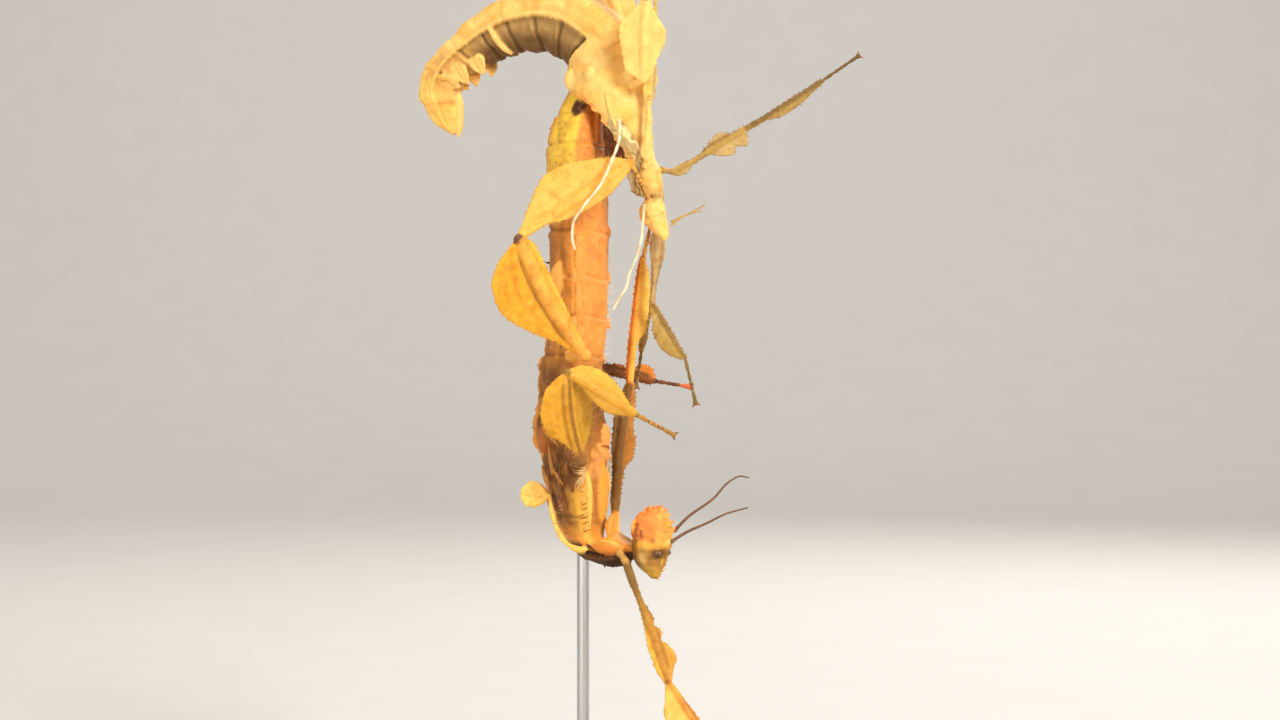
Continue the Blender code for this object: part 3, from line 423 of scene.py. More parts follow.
# Camera and lights, in metres: place, target, size, watts and colour.
CAMERA_PLACE = (0.0, -0.470, 0.116)
CAMERA_LENS = 61.73
MIDDLE = (0.0, 0.0, 0.12)
LIGHTS = {
    "key": ((0.5, -0.8, 0.6), MIDDLE, 0.35, 12.0, (1.0, 0.955, 0.88)),
    "fill": ((-0.75, -0.7, 0.3), MIDDLE, 0.8, 5.0, (1.0, 0.98, 0.96)),
    "rim": ((0.35, 0.7, 0.6), MIDDLE, 0.5, 3.0, (1.0, 0.97, 0.92)),
    "wall": ((0.0, 0.4, 2.2), (0.0, 2.2, 0.4), 1.6, 22.0, (1.0, 0.98, 0.95)),
}
WORLD_TINT = (1.0, 0.97, 0.93, 1)
WORLD_STRENGTH = 0.34


# Curves and fields.


def hermite(keys, values, slopes, at):
    """A cubic curve through the values at their keys, with the given slopes."""
    cell = np.clip(np.searchsorted(keys, at) - 1, 0, len(keys) - 2)
    width = (keys[cell + 1] - keys[cell]).reshape((-1,) + (1,) * (values.ndim - 1))
    t = (at - keys[cell]).reshape(width.shape) / width
    low, high = values[cell], values[cell + 1]
    return (low * (1 + 2 * t) * (1 - t) ** 2 + slopes[cell] * width * t * (1 - t) ** 2
            + high * t * t * (3 - 2 * t) + slopes[cell + 1] * width * t * t * (t - 1))


def through(keys, values, at):
    """A smooth curve through the values at their keys, with no overshoot between them."""
    keys, values, at = (np.asarray(x, float) for x in (keys, values, at))
    steps = np.diff(keys).reshape((-1,) + (1,) * (values.ndim - 1))
    rise = np.diff(values, axis=0) / steps
    slopes = np.concatenate((rise[:1], np.zeros_like(values[1:-1]), rise[-1:]))
    before, after = rise[:-1], rise[1:]
    same_way = before * after > 0
    total = np.where(same_way, before + after, 1.0)
    slopes[1:-1] = np.where(same_way, 2 * before * after / total, 0.0)
    return hermite(keys, values, slopes, at)


def route(points, count):
    """Points evenly along a smooth curve through a route's own points, and its length."""
    points = np.asarray(points, float)
    keys = np.concatenate(([0.0], np.cumsum(np.linalg.norm(np.diff(points, axis=0), axis=1))))
    slopes = np.gradient(points, keys, axis=0)
    return hermite(keys, points, slopes, np.linspace(0, keys[-1], count)), keys[-1]


def bump(value, centre, width):
    """1 at the centre, falling smoothly to almost 0 at twice the width."""
    return np.exp(-(((value - centre) / width) ** 2))


def ramp(value, low, high):
    """0 below low, 1 above high, and a smooth rise between."""
    t = np.clip((value - low) / (high - low), 0, 1)
    return t * t * (3 - 2 * t)


def mix(low, high, share):
    """Two tints mixed point by point."""
    share = np.clip(np.asarray(share), 0, 1)[..., None]
    return low * (1 - share) + high * share


def painted(tint, *coats):
    """A tint under one coat after another, each a tint and its share."""
    for coat, share in coats:
        tint = mix(tint, coat, share)
    return tint


def field(points, wavelength, seed):
    """A smooth random field between about -1 and 1."""
    random = np.random.default_rng(seed)
    total = np.zeros(points.shape[:-1])
    for _ in range(8):
        direction = random.normal(size=3)
        direction /= np.linalg.norm(direction)
        pace = math.tau / (wavelength * random.uniform(0.7, 1.5))
        total += np.sin(points @ direction * pace + random.uniform(0, math.tau))
    return total / 4


# Source surfaces. Each is a grid of points, rows along the form and columns round it.


def in_plane(plane_x, forward, side, height):
    """Points given along the belly's facing, to the animal's left, and up."""
    turn_cos, turn_sin = math.cos(BELLY_TURN), math.sin(BELLY_TURN)
    x = plane_x + forward * turn_cos - side * turn_sin
    y = -forward * turn_sin - side * turn_cos
    return np.stack(np.broadcast_arrays(x, y, height), axis=-1)


def outward(grid):
    """The unit normal at each point of a closed grid."""
    along = np.gradient(grid, axis=0)
    around = np.roll(grid, -1, axis=1) - np.roll(grid, 1, axis=1)
    normal = np.cross(around, along)
    normal /= np.maximum(np.linalg.norm(normal, axis=-1, keepdims=True), 1e-9)
    centre = grid.mean(axis=1, keepdims=True)
    facing = ((grid - centre) * normal).sum(axis=-1)
    return normal if facing.mean() > 0 else -normal


class Form:
    """One source surface, with a tint for each point and a place of its own on the unwrap."""

    tiles = 0

    def __init__(self, grid, tint):
        """The tint is one colour or one for each point."""
        self.grid = grid
        self.tint = np.broadcast_to(tint, grid.shape).copy()
        self.tile = Form.tiles
        Form.tiles += 1

    def swell(self, height):
        """Moves each point outward by its own height."""
        self.grid = self.grid + outward(self.grid) * height[..., None]
        return self

    def faces(self):
        """Quads between the rows, and one cap at each end."""
        rows, columns = self.grid.shape[:2]
        index = np.arange(rows * columns).reshape(rows, columns)
        following = np.roll(index, -1, axis=1)
        quads = np.stack((index[:-1], following[:-1], following[1:], index[1:]), axis=-1)
        caps = [tuple(index[0][::-1]), tuple(index[-1])]
        return [tuple(quad) for quad in quads.reshape(-1, 4)] + caps


def closed_section(section, columns):
    """Side and rise shares round a section, smoothly, starting at the belly."""
    mirrored = [(-side, rise) for side, rise in reversed(section[1:-1])]
    loop = np.array(list(section) + mirrored + [section[0]])
    keys = np.concatenate(([0.0], np.cumsum(np.linalg.norm(np.diff(loop, axis=0), axis=1))))
    slopes = np.gradient(loop, keys, axis=0)
    slopes[0] = slopes[-1] = (loop[1] - loop[-2]) / (keys[1] + keys[-1] - keys[-2])
    at = np.arange(columns) / columns * keys[-1]
    shares = hermite(keys, loop, slopes, at)
    return shares[:, 0], shares[:, 1]


def station_rows(stations, step):
    """Stations resampled about every step along the middle of the form."""
    flat = np.array([[*belly, *back, *rest] for belly, back, *rest in stations])
    middle = (flat[:, 0:2] + flat[:, 2:4]) / 2
    keys = np.concatenate(([0.0], np.cumsum(np.linalg.norm(np.diff(middle, axis=0), axis=1))))
    at = np.linspace(0, keys[-1], max(int(keys[-1] / step), 4))
    return through(keys, flat, at), at / keys[-1]


def trunk(plane_x, stations, section, step=0.4, columns=96):
    """A trunk's points, with each point's side and rise shares and its share along."""
    rows, along = station_rows(stations, step)
    side, rise = closed_section(section, columns)
    forward = rows[:, 0:1] + (rows[:, 2:3] - rows[:, 0:1]) * rise
    height = rows[:, 1:2] + (rows[:, 3:4] - rows[:, 1:2]) * rise
    grid = in_plane(plane_x, forward, rows[:, 4:5] * side, height)
    side, rise = np.broadcast_to(side, height.shape), np.broadcast_to(rise, height.shape)
    return grid, side, rise, np.broadcast_to(along[:, None], height.shape)


def tube_grid(points, radii, sides, squash=1.0):
    """Rings round a path; radii is one number for each of its points."""
    direction = np.gradient(points, axis=0)
    direction /= np.linalg.norm(direction, axis=1, keepdims=True)
    front = np.array((0.12, -1.0, 0.08))
    normal = front - direction * (direction @ front)[:, None]
    normal /= np.linalg.norm(normal, axis=1, keepdims=True)
    across = np.cross(normal, direction)
    angle = np.linspace(0, math.tau, sides, endpoint=False)
    radii = np.asarray(radii)[:, None, None]
    return (points[:, None] + across[:, None] * np.cos(angle)[:, None] * radii
            + normal[:, None] * np.sin(angle)[:, None] * radii * squash)


def leaf_frame(direction, turn):
    """The leaf's normal, towards the front and turned about the limb, and the way across it."""
    front = np.array((0.0, -1.0, 0.0))
    normal = front - direction * (front @ direction)
    normal /= np.linalg.norm(normal)
    angle = math.radians(turn)
    normal = normal * math.cos(angle) + np.cross(direction, normal) * math.sin(angle)
    return normal, np.cross(normal, direction)


def leaf(start, end, leaves, shaft, turn, tints, bow=0.0, wave=0.3, teeth=0.0, seed=1, crest=1.0,
         base=None, base_reach=0.2, marked=1.0):
    """A limb with a shaft, two thin leaf-like lobes, a groove on each side of the shaft, and veins.

    Bow bends the shaft, wave ripples the edges and teeth notch them. Crest says where the shaft's
    tint ends, in shaft widths, and base tints the first base_reach of the length. Marked is the
    strength of mottle, grooves and veins in the tint.
    """
    upper, lower = leaves
    start, end = np.array(start, float), np.array(end, float)
    length = np.linalg.norm(end - start)
    direction = (end - start) / length
    normal, across = leaf_frame(direction, turn)
    share = np.linspace(0, 1, max(int(length / LEAF_STEP), 8))[:, None]
    bend = bow * np.sin(math.pi * share)
    reach_up = through(*zip(*upper), share[:, 0])[:, None] - bend
    reach_down = through(*zip(*lower), share[:, 0])[:, None] + bend
    tooth = teeth * np.abs(np.sin(math.pi * share * length / 1.7 + seed)) ** 0.6
    open_leaf = ramp(share, 0.08, 0.25) * ramp(1 - share, 0.03, 0.15)
    reach_up = reach_up - tooth * open_leaf
    reach_down = reach_down - tooth * open_leaf * 0.7
    place = np.linspace(-1, 1, LEAF_COLUMNS)[None, :]
    # Columns crowd towards the shaft and the edges.
    place = np.sign(place) * (0.55 * np.abs(place) ** 1.6 + 0.45 * np.abs(place) ** 0.7)
    offset = np.where(place > 0, place * reach_up, place * reach_down)
    edge = np.abs(place)
    swell = 0.74 + 0.26 * np.sin(math.pi * share)
    shaft_width, shaft_height = shaft * 1.2 * swell, shaft * swell
    plate = 0.27 + 0.14 * (1 - edge) ** 1.5
    rounded = np.sqrt(np.clip(1 - (offset / shaft_width) ** 2, 0, 1)) * shaft_height
    half = np.maximum(plate, rounded) + 0.08 * bump(rounded, plate, 0.25)
    groove = bump(offset, shaft_width * 1.25, 0.34) * open_leaf
    second = bump(offset, -shaft_width * 1.2, 0.3) * open_leaf
    veins = sum(bump(place, k, 0.035) for k in (0.45, 0.7, -0.55)) * open_leaf
    ribs = np.abs(np.sin((share * length - 0.8 * edge * reach_up) * 1.35)) ** 8
    ribs = ribs * open_leaf * ramp(edge, 0.2, 0.5)
    half = half - 0.14 * groove - 0.08 * second + 0.07 * veins + 0.05 * ribs
    # Both faces meet at each edge in a narrow rim.
    half = half * np.sqrt(np.clip(1 - edge ** 12, 0.12, 1))
    long_wave = np.sin(share * length / 2.3 + seed)
    ripple = wave * (long_wave + 0.6 * np.sin(share * length / 1.1 + 2 * seed + place))
    lift = ripple * edge ** 2 * open_leaf
    middle = start + direction * (share * length)[..., None]
    centre = middle + across * (offset + bend)[..., None] + normal * lift[..., None]
    depth = normal * half[..., None]
    grid = np.concatenate((centre + depth, (centre - depth)[:, ::-1]), axis=1)
    shaft_tint, up_tint, down_tint, groove_tint = tints
    inside, outside = shaft_width * (crest - 0.3), shaft_width * (crest + 0.1)
    tint = mix(shaft_tint, up_tint, ramp(offset, inside, outside))
    tint = mix(tint, down_tint, ramp(-offset, inside, outside))
    mottle = field(centre, 3.0, seed) * 0.5 + field(centre, 1.1, seed + 5) * 0.4
    tint = mix(tint, tint * (0.8, 0.7, 0.5), np.clip(mottle * 1.3, 0, 1) * marked)
    tint = mix(tint, groove_tint, (0.85 * groove + 0.25 * second) * marked)
    tint = mix(tint, groove_tint, (0.2 * veins + 0.12 * ribs) * marked)
    tint = mix(tint, tint * 1.08, 0.7 * bump(edge, 1.0, 0.07) * open_leaf)
    if base is not None:
        tint = mix(tint, base, 1 - ramp(share, base_reach * 0.2, base_reach))
    return Form(grid, np.concatenate((tint, tint[:, ::-1]), axis=1))


def ball(centre, radii, tint, turn_to=None):
    """An ellipsoid; its first radius runs along turn_to."""
    axis = np.array(turn_to if turn_to is not None else (0, 0, 1), float)
    axis /= np.linalg.norm(axis)
    polar = np.linspace(0.12, math.pi - 0.12, 16)
    points = np.array(centre) - axis * (np.cos(polar) * radii[0])[:, None]
    grid = tube_grid(points, np.sin(polar) * radii[1], 24, radii[2] / radii[1])
    return Form(grid, tint)


def oval(centre, axes, radii, tint):
    """An ellipsoid on three axes: along, across and outward."""
    polar = np.linspace(0.12, math.pi - 0.12, 20)[:, None, None]
    angle = np.linspace(0, math.tau, 30, endpoint=False)[None, :, None]
    along, across, out = (np.array(axis, float) / np.linalg.norm(axis) for axis in axes)
    flat = across * np.cos(angle) * radii[1] + out * np.sin(angle) * radii[2]
    return Form(np.array(centre) - along * np.cos(polar) * radii[0] + flat * np.sin(polar), tint)


def rib(points, radii, tint):
    """A low ridge that follows a route."""
    path, _ = route(points, RIB_ROWS)
    keys = np.linspace(0, 1, len(radii))
    return Form(tube_grid(path, through(keys, radii, np.linspace(0, 1, RIB_ROWS)), RIB_SIDES), tint)


# Joining.


def new_object(name, points, faces, tint, finish):
    """A piece of the root body from points in millimetres, with a tint for each of them."""
    mesh = bpy.data.meshes.new(name)
    mesh.from_pydata(points * MM, [], faces)
    mesh.validate()
    layer = mesh.attributes.new("tint", "FLOAT_COLOR", "POINT")
    flat = np.ones((len(mesh.vertices), 4), np.float32)
    flat[:, :3] = tint
    layer.data.foreach_set("color", flat.ravel())
    mesh.shade_smooth()
    made = bpy.data.objects.new(name, mesh)
    mesh.materials.append(finish)
    bpy.context.scene.collection.objects.link(made)
    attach(made, "root")
    return made


def joined(forms):
    """The points, faces and tints of several forms as one mesh."""
    points = np.concatenate([form.grid.reshape(-1, 3) for form in forms])
    tint = np.concatenate([form.tint.reshape(-1, 3) for form in forms])
    faces, start = [], 0
    for form in forms:
        faces += [tuple(start + i for i in face) for face in form.faces()]
        start += form.grid.shape[0] * form.grid.shape[1]
    return points, faces, tint


def fused(name, forms, finish, smoothing):
    """One closed skin over all the forms; each of its points takes the tints nearest to it."""
    points, faces, tint = joined(forms)
    source = bpy.data.meshes.new(name + "_source")
    source.from_pydata(points, [], faces)
    carrier = bpy.data.objects.new(name + "_source", source)
    bpy.context.scene.collection.objects.link(carrier)
    voxels = carrier.modifiers.new("fuse", "REMESH")
    voxels.mode = "VOXEL"
    voxels.voxel_size = VOXEL
    ease = carrier.modifiers.new("ease", "SMOOTH")
    ease.factor = 0.5
    ease.iterations = smoothing
    graph = bpy.context.evaluated_depsgraph_get()
    skin = bpy.data.meshes.new_from_object(carrier.evaluated_get(graph))
    bpy.data.objects.remove(carrier)
    count = len(skin.vertices)
    skin_points = np.zeros(count * 3, np.float32)
    skin.vertices.foreach_get("co", skin_points)
    skin_points = skin_points.reshape(-1, 3).astype(float)
    skin_faces = [tuple(polygon.vertices) for polygon in skin.polygons]
    bpy.data.meshes.remove(skin)
    tree = KDTree(len(points))
    for i, point in enumerate(points):
        tree.insert(point, i)
    tree.balance()
    skin_tint = np.zeros((count, 3))
    for i, point in enumerate(skin_points):
        near = tree.find_n(point, TINT_SOURCES)
        weights = np.array([1 / (distance + 0.02) for _, _, distance in near])
        skin_tint[i] = weights @ tint[[j for _, j, _ in near]] / weights.sum()
    return new_object(name, skin_points, skin_faces, skin_tint, finish)


# The fresh insect.


def on_insect(forward, side, height):
    """A point in the fresh insect's own directions."""
    return in_plane(INSECT_X, forward, side, height)


def insect_line(hand, *places):
    """A route on the insect; hand is 1 for its left side and -1 for the same route mirrored."""
    return [on_insect(forward, side * hand, height) for forward, side, height in places]


def lobe(place, radii, tint, hand=1):
    """A rounded swelling, with its radii up, towards the belly and to the side."""
    forward, side, height = place
    return oval(on_insect(forward, side * hand, height), (UP, BELLY_WAY, LEFT_WAY), radii, tint)


def insect_trunk():
    """Abdomen and thorax in one, with telescoped segments, a flat belly plate and pleural folds."""
    grid, side, rise, _ = trunk(INSECT_X, ABDOMEN + THORAX, BODY_SECTION, 0.34, 132)
    height = grid[..., 2]
    on_abdomen = ramp(height, 112, 120)
    on_thorax = (1 - on_abdomen) * ramp(height, 78, 82)
    border = bump(rise, 0.055, 0.018) * ramp(height, 84, 92)
    pleura = bump(rise, 0.4, 0.05)
    lift, crease = insect_relief(grid, side, rise, on_abdomen, on_thorax, border, pleura)
    tint = insect_tints(grid, side, rise, on_abdomen, on_thorax)
    calm = on_abdomen * (1 - 0.7 * ramp(height, 154, 160))
    # A dark hole near the top of the abdomen, with painted shadow round it between the insect and the shed
    # skin.
    edge = bump(height, 170.0 + 0.3 * np.sin(rise * 20), 2.0) * bump(rise, 0.26, 0.26)
    hole_and_shadow = ramp(edge, 0.3, 0.62) * (side > 0)
    tint = painted(
        tint,
        # Painted shadow: a dark line along the belly plate's edge, where the plate stands over the flank. The
        # same coat darkens the segment creases and the pleural fold.
        (DARK, 0.4 * border * calm + 0.4 * crease + 0.22 * pleura * calm),
        (srgb(84, 44, 16), hole_and_shadow),
    )
    tint = mix(tint, tint * 0.78, np.clip(field(grid, 6.0, 9), 0, 1))
    return Form(grid, tint).swell(lift)


def insect_relief(grid, side, rise, on_abdomen, on_thorax, border, pleura):
    """How far each point of the trunk rises, and how deep in a segment's crease it lies."""
    height = grid[..., 2]
    lift = np.zeros(height.shape)
    crease = np.zeros(height.shape)
    for joint in SEGMENT_JOINTS + THORAX_JOINTS:
        beyond = height - joint - 0.35 * np.sin(side * 3.0)
        crease = np.maximum(crease, bump(beyond, 0.3, 0.34))
        lift += 0.2 * bump(beyond, -0.55, 0.5) - 0.42 * bump(beyond, 0.3, 0.32)
    crease *= (0.12 + 0.88 * ramp(rise, 0.03, 0.12)) * (1 - 0.6 * ramp(height, 152, 158))
    furrowed = on_abdomen * (1 - 0.85 * ramp(height, 151, 156))
    lift -= 0.4 * border * furrowed
    lift += (0.34 * bump(rise, 0.095, 0.03) - 0.3 * pleura + 0.25 * bump(rise, 0.55, 0.07)) * furrowed
    lift -= 0.14 * bump(side, 0.0, 0.05) * (rise < 0.5) * on_abdomen
    lift += 0.3 * bump(np.abs(side), 0.12, 0.07) * (rise > 0.8)
    pinched = np.abs(np.sin(height * 0.72 + 3.5 * rise))
    lift -= 0.5 * on_thorax * ramp(rise, 0.12, 0.3) * (1 - pinched) ** 2
    lift += 0.13 * field(grid * (1, 1, 1.7), 4.0, 3) + 0.06 * field(grid, 1.5, 4)
    lift += 0.25 * on_thorax * field(grid, 3.2, 5)
    return lift, crease


def insect_tints(grid, side, rise, on_abdomen, on_thorax):
    """The trunk's colours: amber and gold above, brown round the thorax, orange down the belly, with painted
    shade on the flanks, the thorax, the belly under the legs and the prothorax's back.
    """
    height = grid[..., 2]
    flank = ramp(rise, 0.06, 0.16) * (1 - ramp(rise, 0.84, 0.97))
    # Painted shade on the back of the abdomen, below the leaves of the hind leg.
    back = 0.6 * on_abdomen * flank * ramp(rise, 0.5, 0.8) * (1 - ramp(height, 150, 160))
    belly = 1 - ramp(rise, 0.03, 0.09)
    lower = (1 - ramp(height, 86, 91)) * ramp(height, 75, 78) * bump(rise, 0.2, 0.2)
    neck = ramp(-height, -77.6, -76.0)
    dots = ramp(field(grid * (1, 1, 0.6), 1.3, 8), 0.85, 1.15)
    rows = bump(np.abs(side), 0.7, 0.14) + bump(np.abs(side), 0.3, 0.12)
    dashes = ramp(field(grid * (1.6, 1.6, 1.0), 1.5, 11), 0.55, 0.9) * rows * (rise < 0.06) * on_abdomen
    marks = ramp(field(grid * (0.5, 0.5, 2.4), 2.2, 10), 0.75, 1.05) * ramp(height, 150, 156)
    return painted(
        np.broadcast_to(AMBER, grid.shape),
        # Painted shade: the abdomen's flank is darker and its back darker still. The gold coat above height
        # 152 keeps the upper flank out of that shade, and the orange coat on the far side near the top is
        # painted light that lifts the shade there.
        (srgb(208, 132, 46), flank * on_abdomen),
        (srgb(140, 82, 28), back),
        (srgb(252, 164, 76), 0.95 * belly * on_abdomen),
        (srgb(255, 206, 72), 0.95 * ramp(height, 152, 160) * flank),
        (srgb(255, 142, 60), 0.75 * bump(height, 168.0, 5.0) * belly),
        (srgb(255, 152, 66), 0.9 * ramp(height, 156, 162) * ramp(-side, 0.5, 0.8)),
        # Painted shade: the thorax's flank brown.
        (srgb(122, 72, 22), 0.95 * on_thorax * flank),
        (srgb(214, 148, 72), 0.6 * on_thorax * np.clip(field(grid * (1, 1, 0.7), 3.0, 6), 0, 1)),
        (srgb(244, 178, 66), 0.95 * lower),
        (srgb(190, 122, 52), 0.85 * on_thorax * belly),
        # Painted shadow across the belly under the leg leaves, round height 106.
        (srgb(100, 60, 22), 0.8 * bump(height, 106.5, 6.5) * belly),
        # Painted shade on the far side, by the neck.
        (srgb(104, 62, 26), 0.9 * bump(height, 80.4, 3.8) * ramp(-side, 0.15, 0.45)),
        # The prothorax: amber in front, with painted shade on its back.
        (srgb(240, 154, 52), neck * (1 - ramp(rise, 0.42, 0.56))),
        (srgb(84, 48, 16), neck * ramp(rise, 0.42, 0.56)),
        (DARK, 0.28 * dots * ramp(rise, 0.0, 0.1)),
        (srgb(140, 76, 28), 0.5 * np.clip(dashes, 0, 1)),
        (srgb(150, 92, 34), 0.5 * marks),
    )


def insect_head():
    """The skull, mouth up and crown down: orange round the mouth, olive behind, a painted pale highlight down
    the face.
    """
    grid, side, rise, _ = trunk(INSECT_X, HEAD, HEAD_SECTION, 0.22, 104)
    height = grid[..., 2]
    mouth = ramp(height, 76.6, 79.4)
    near_eye = bump(rise, 0.86, 0.14) * bump(height, 75.1, 1.25)
    lift = 0.3 * bump(rise, 0.5, 0.14) * bump(height, 77.2, 1.6)
    lift = lift - 0.2 * bump(rise, 0.62, 0.06) * bump(height, 73.6, 2.6)
    lift += 0.22 * bump(side, 0.0, 0.12) * (rise > 0.5) - 0.2 * near_eye
    lift -= 0.3 * bump(height, 78.4 - 1.2 * rise, 0.3) * (rise < 0.75)
    lift += (0.13 + 0.16 * mouth) * field(grid, 1.6, 12) + 0.08 * field(grid, 0.7, 13)
    rear = (1 - mouth) * (1 - ramp(rise, 0.2, 0.42))
    behind_mouth = 0.75 * mouth * (1 - ramp(rise, 0.12, 0.34)) * (1 - ramp(height, 81.0, 83.0))
    tint = painted(
        srgb(186, 134, 60),
        (srgb(250, 144, 64), mouth),
        (srgb(132, 88, 26), 0.85 * rear),
        # Painted highlight: a pale patch down the face.
        (srgb(232, 188, 118), 0.7 * bump(rise, 0.46, 0.12) * bump(height, 73.8, 1.5)),
        (srgb(222, 170, 64), 0.8 * (1 - ramp(height, 71.4, 73.0))),
        (srgb(254, 178, 66), 0.9 * bump(height, 77.0, 0.9) * ramp(rise, 0.2, 0.4)),
        (srgb(120, 70, 24), behind_mouth),
        (srgb(254, 186, 82), 0.85 * mouth * ramp(rise, 0.72, 0.9)),
        (srgb(112, 72, 30), np.clip(1.5 * near_eye, 0, 1)),
    )
    tint = mix(tint, tint * 0.72, np.clip(field(grid, 2.0, 14), 0, 1))
    return Form(grid, tint).swell(lift)


def mouthparts(hand):
    """Mandible, cheek lobes, lip, palps and the folds beside them, on one side of the head."""
    bright, deep, gold = srgb(250, 146, 66), srgb(238, 134, 58), srgb(252, 168, 74)
    forms = [lobe(place, radii, tint, hand) for place, radii, tint in (
        ((10.3, 2.3, 81.4), (2.4, 2.2, 1.3), bright),
        ((8.4, 2.3, 81.6), (2.2, 1.3, 1.1), deep),
        ((12.6, 1.5, 79.8), (2.7, 1.0, 1.2), mix(bright, gold, 0.5)),
        ((7.0, 2.4, 79.6), (1.8, 1.0, 0.9), srgb(206, 112, 36)),
        ((10.0, 0.9, 84.0), (1.0, 1.6, 0.7), deep),
    )]
    for number, (forward, height) in enumerate(MOUTH_CREST):
        scallop = on_insect(forward, (1.3 + 0.3 * (number % 2)) * hand, height - 0.3)
        lean = np.array(BELLY_WAY) * (forward - 10.2) / 3.8 + np.array(UP)
        tint = gold if number > 5 else bright
        forms.append(oval(scallop, (lean, BELLY_WAY, LEFT_WAY), (0.85, 0.36, 0.5), tint))
    palp = insect_line(hand, (7.0, 3.0, 79.6), (6.6, 3.1, 80.6), (6.8, 3.0, 81.7), (7.6, 2.9, 82.3))
    forms.append(rib(palp, (0.3, 0.4, 0.32, 0.36, 0.22), srgb(252, 170, 66)))
    for girth, places in (
        (0.3, ((8.3, 3.5, 80.7), (7.6, 3.5, 80.0), (7.9, 3.6, 79.2), (7.5, 3.55, 78.6), (8.2, 3.75, 77.9))),
        (0.2, ((9.3, 3.7, 80.0), (8.8, 3.75, 79.5), (9.1, 3.8, 79.0), (9.3, 3.8, 78.5))),
        (0.16, ((7.6, 3.2, 81.4), (8.1, 3.35, 81.1), (8.4, 3.45, 81.3))),
    ):
        fold = insect_line(hand, *places)
        forms.append(rib(fold, (0.05, girth, 0.6 * girth, girth, 0.05), srgb(168, 92, 36)))
    return forms


def brow(hand):
    """A pale raised line over an eye."""
    forward, side, height = EYE_PLACE
    points = insect_line(hand, *((forward + a, side + b, height + c) for a, b, c in (
        (-1.6, 0.9, 1.0), (-0.7, 0.55, 1.3), (0.2, 0.0, 1.4), (0.9, -0.6, 1.4))))
    return rib(points, (0.12, 0.24, 0.24, 0.1), srgb(240, 184, 92))


def crown_cones():
    """The short blunt cones on the crown, in pairs."""
    forms = []
    for forward, side, height, length in CROWN_CONES:
        for hand in (1, -1):
            root = on_insect(forward, side * hand, height)
            tip = on_insect(forward + 0.35 * length, side * hand * 1.35, height - length)
            forms.append(rib([root, (root + tip) / 2, tip], (0.55, 0.36, 0.12), srgb(220, 164, 64)))
    return forms


def antenna_bases():
    """The two knobs that the feelers stand on."""
    return [rib([np.array(place) for place in places], radii, srgb(254, 194, 104)) for places, radii in (
        (((4.9, -6.8, 77.2), (5.7, -7.1, 77.4), (6.8, -7.55, 77.85)), (0.7, 0.62, 0.46)),
        (((5.2, -4.6, 79.0), (6.2, -4.8, 79.4), (7.6, -5.1, 80.1)), (0.7, 0.6, 0.44)),
    )]


def coxa(root, hip, radius, tint, bend):
    """The leg's root; bend moves its middle along X."""
    middle = root * 0.45 + hip * 0.55 + np.array((bend, 0.0, 0.0))
    beyond = hip + (hip - root) / np.linalg.norm(hip - root) * 0.3
    girths = (radius * 1.25, radius * 1.1, radius * 0.88, radius * 1.12, radius * 0.7)
    return rib([root, middle, beyond], girths, tint)


def foot(ankle, claw, radius, tint, toe, pad_size):
    """Five joints with a pad under each, and the soft pad between the claws."""
    count = 90
    share = np.linspace(0, 1, count)
    swell = np.full(count, 0.78)
    for low, high in zip(TARSUS_JOINTS, TARSUS_JOINTS[1:]):
        within = np.clip((share - low) / (high - low), 0, 1)
        bulge = 0.66 + 0.4 * np.sin(math.pi * within ** 1.4)
        swell = np.where((share >= low) & (share <= high), bulge, swell)
    points = ankle + (claw - ankle) * share[:, None] * 0.93
    grid = tube_grid(points, radius * swell, 20)
    joint = np.zeros(count)
    for at in TARSUS_JOINTS[1:-1]:
        joint = np.maximum(joint, bump(share, at, 0.02))
    shade = mix(np.broadcast_to(tint, grid.shape), toe, ramp(share, 0.62, 0.75)[:, None])
    shade = mix(shade, DARK, (0.8 * joint)[:, None])
    pad = ball(ankle + (claw - ankle) * 0.95, np.array((0.75, 0.62, 0.4)) * pad_size, toe, claw - ankle)
    return [Form(grid, shade), pad]


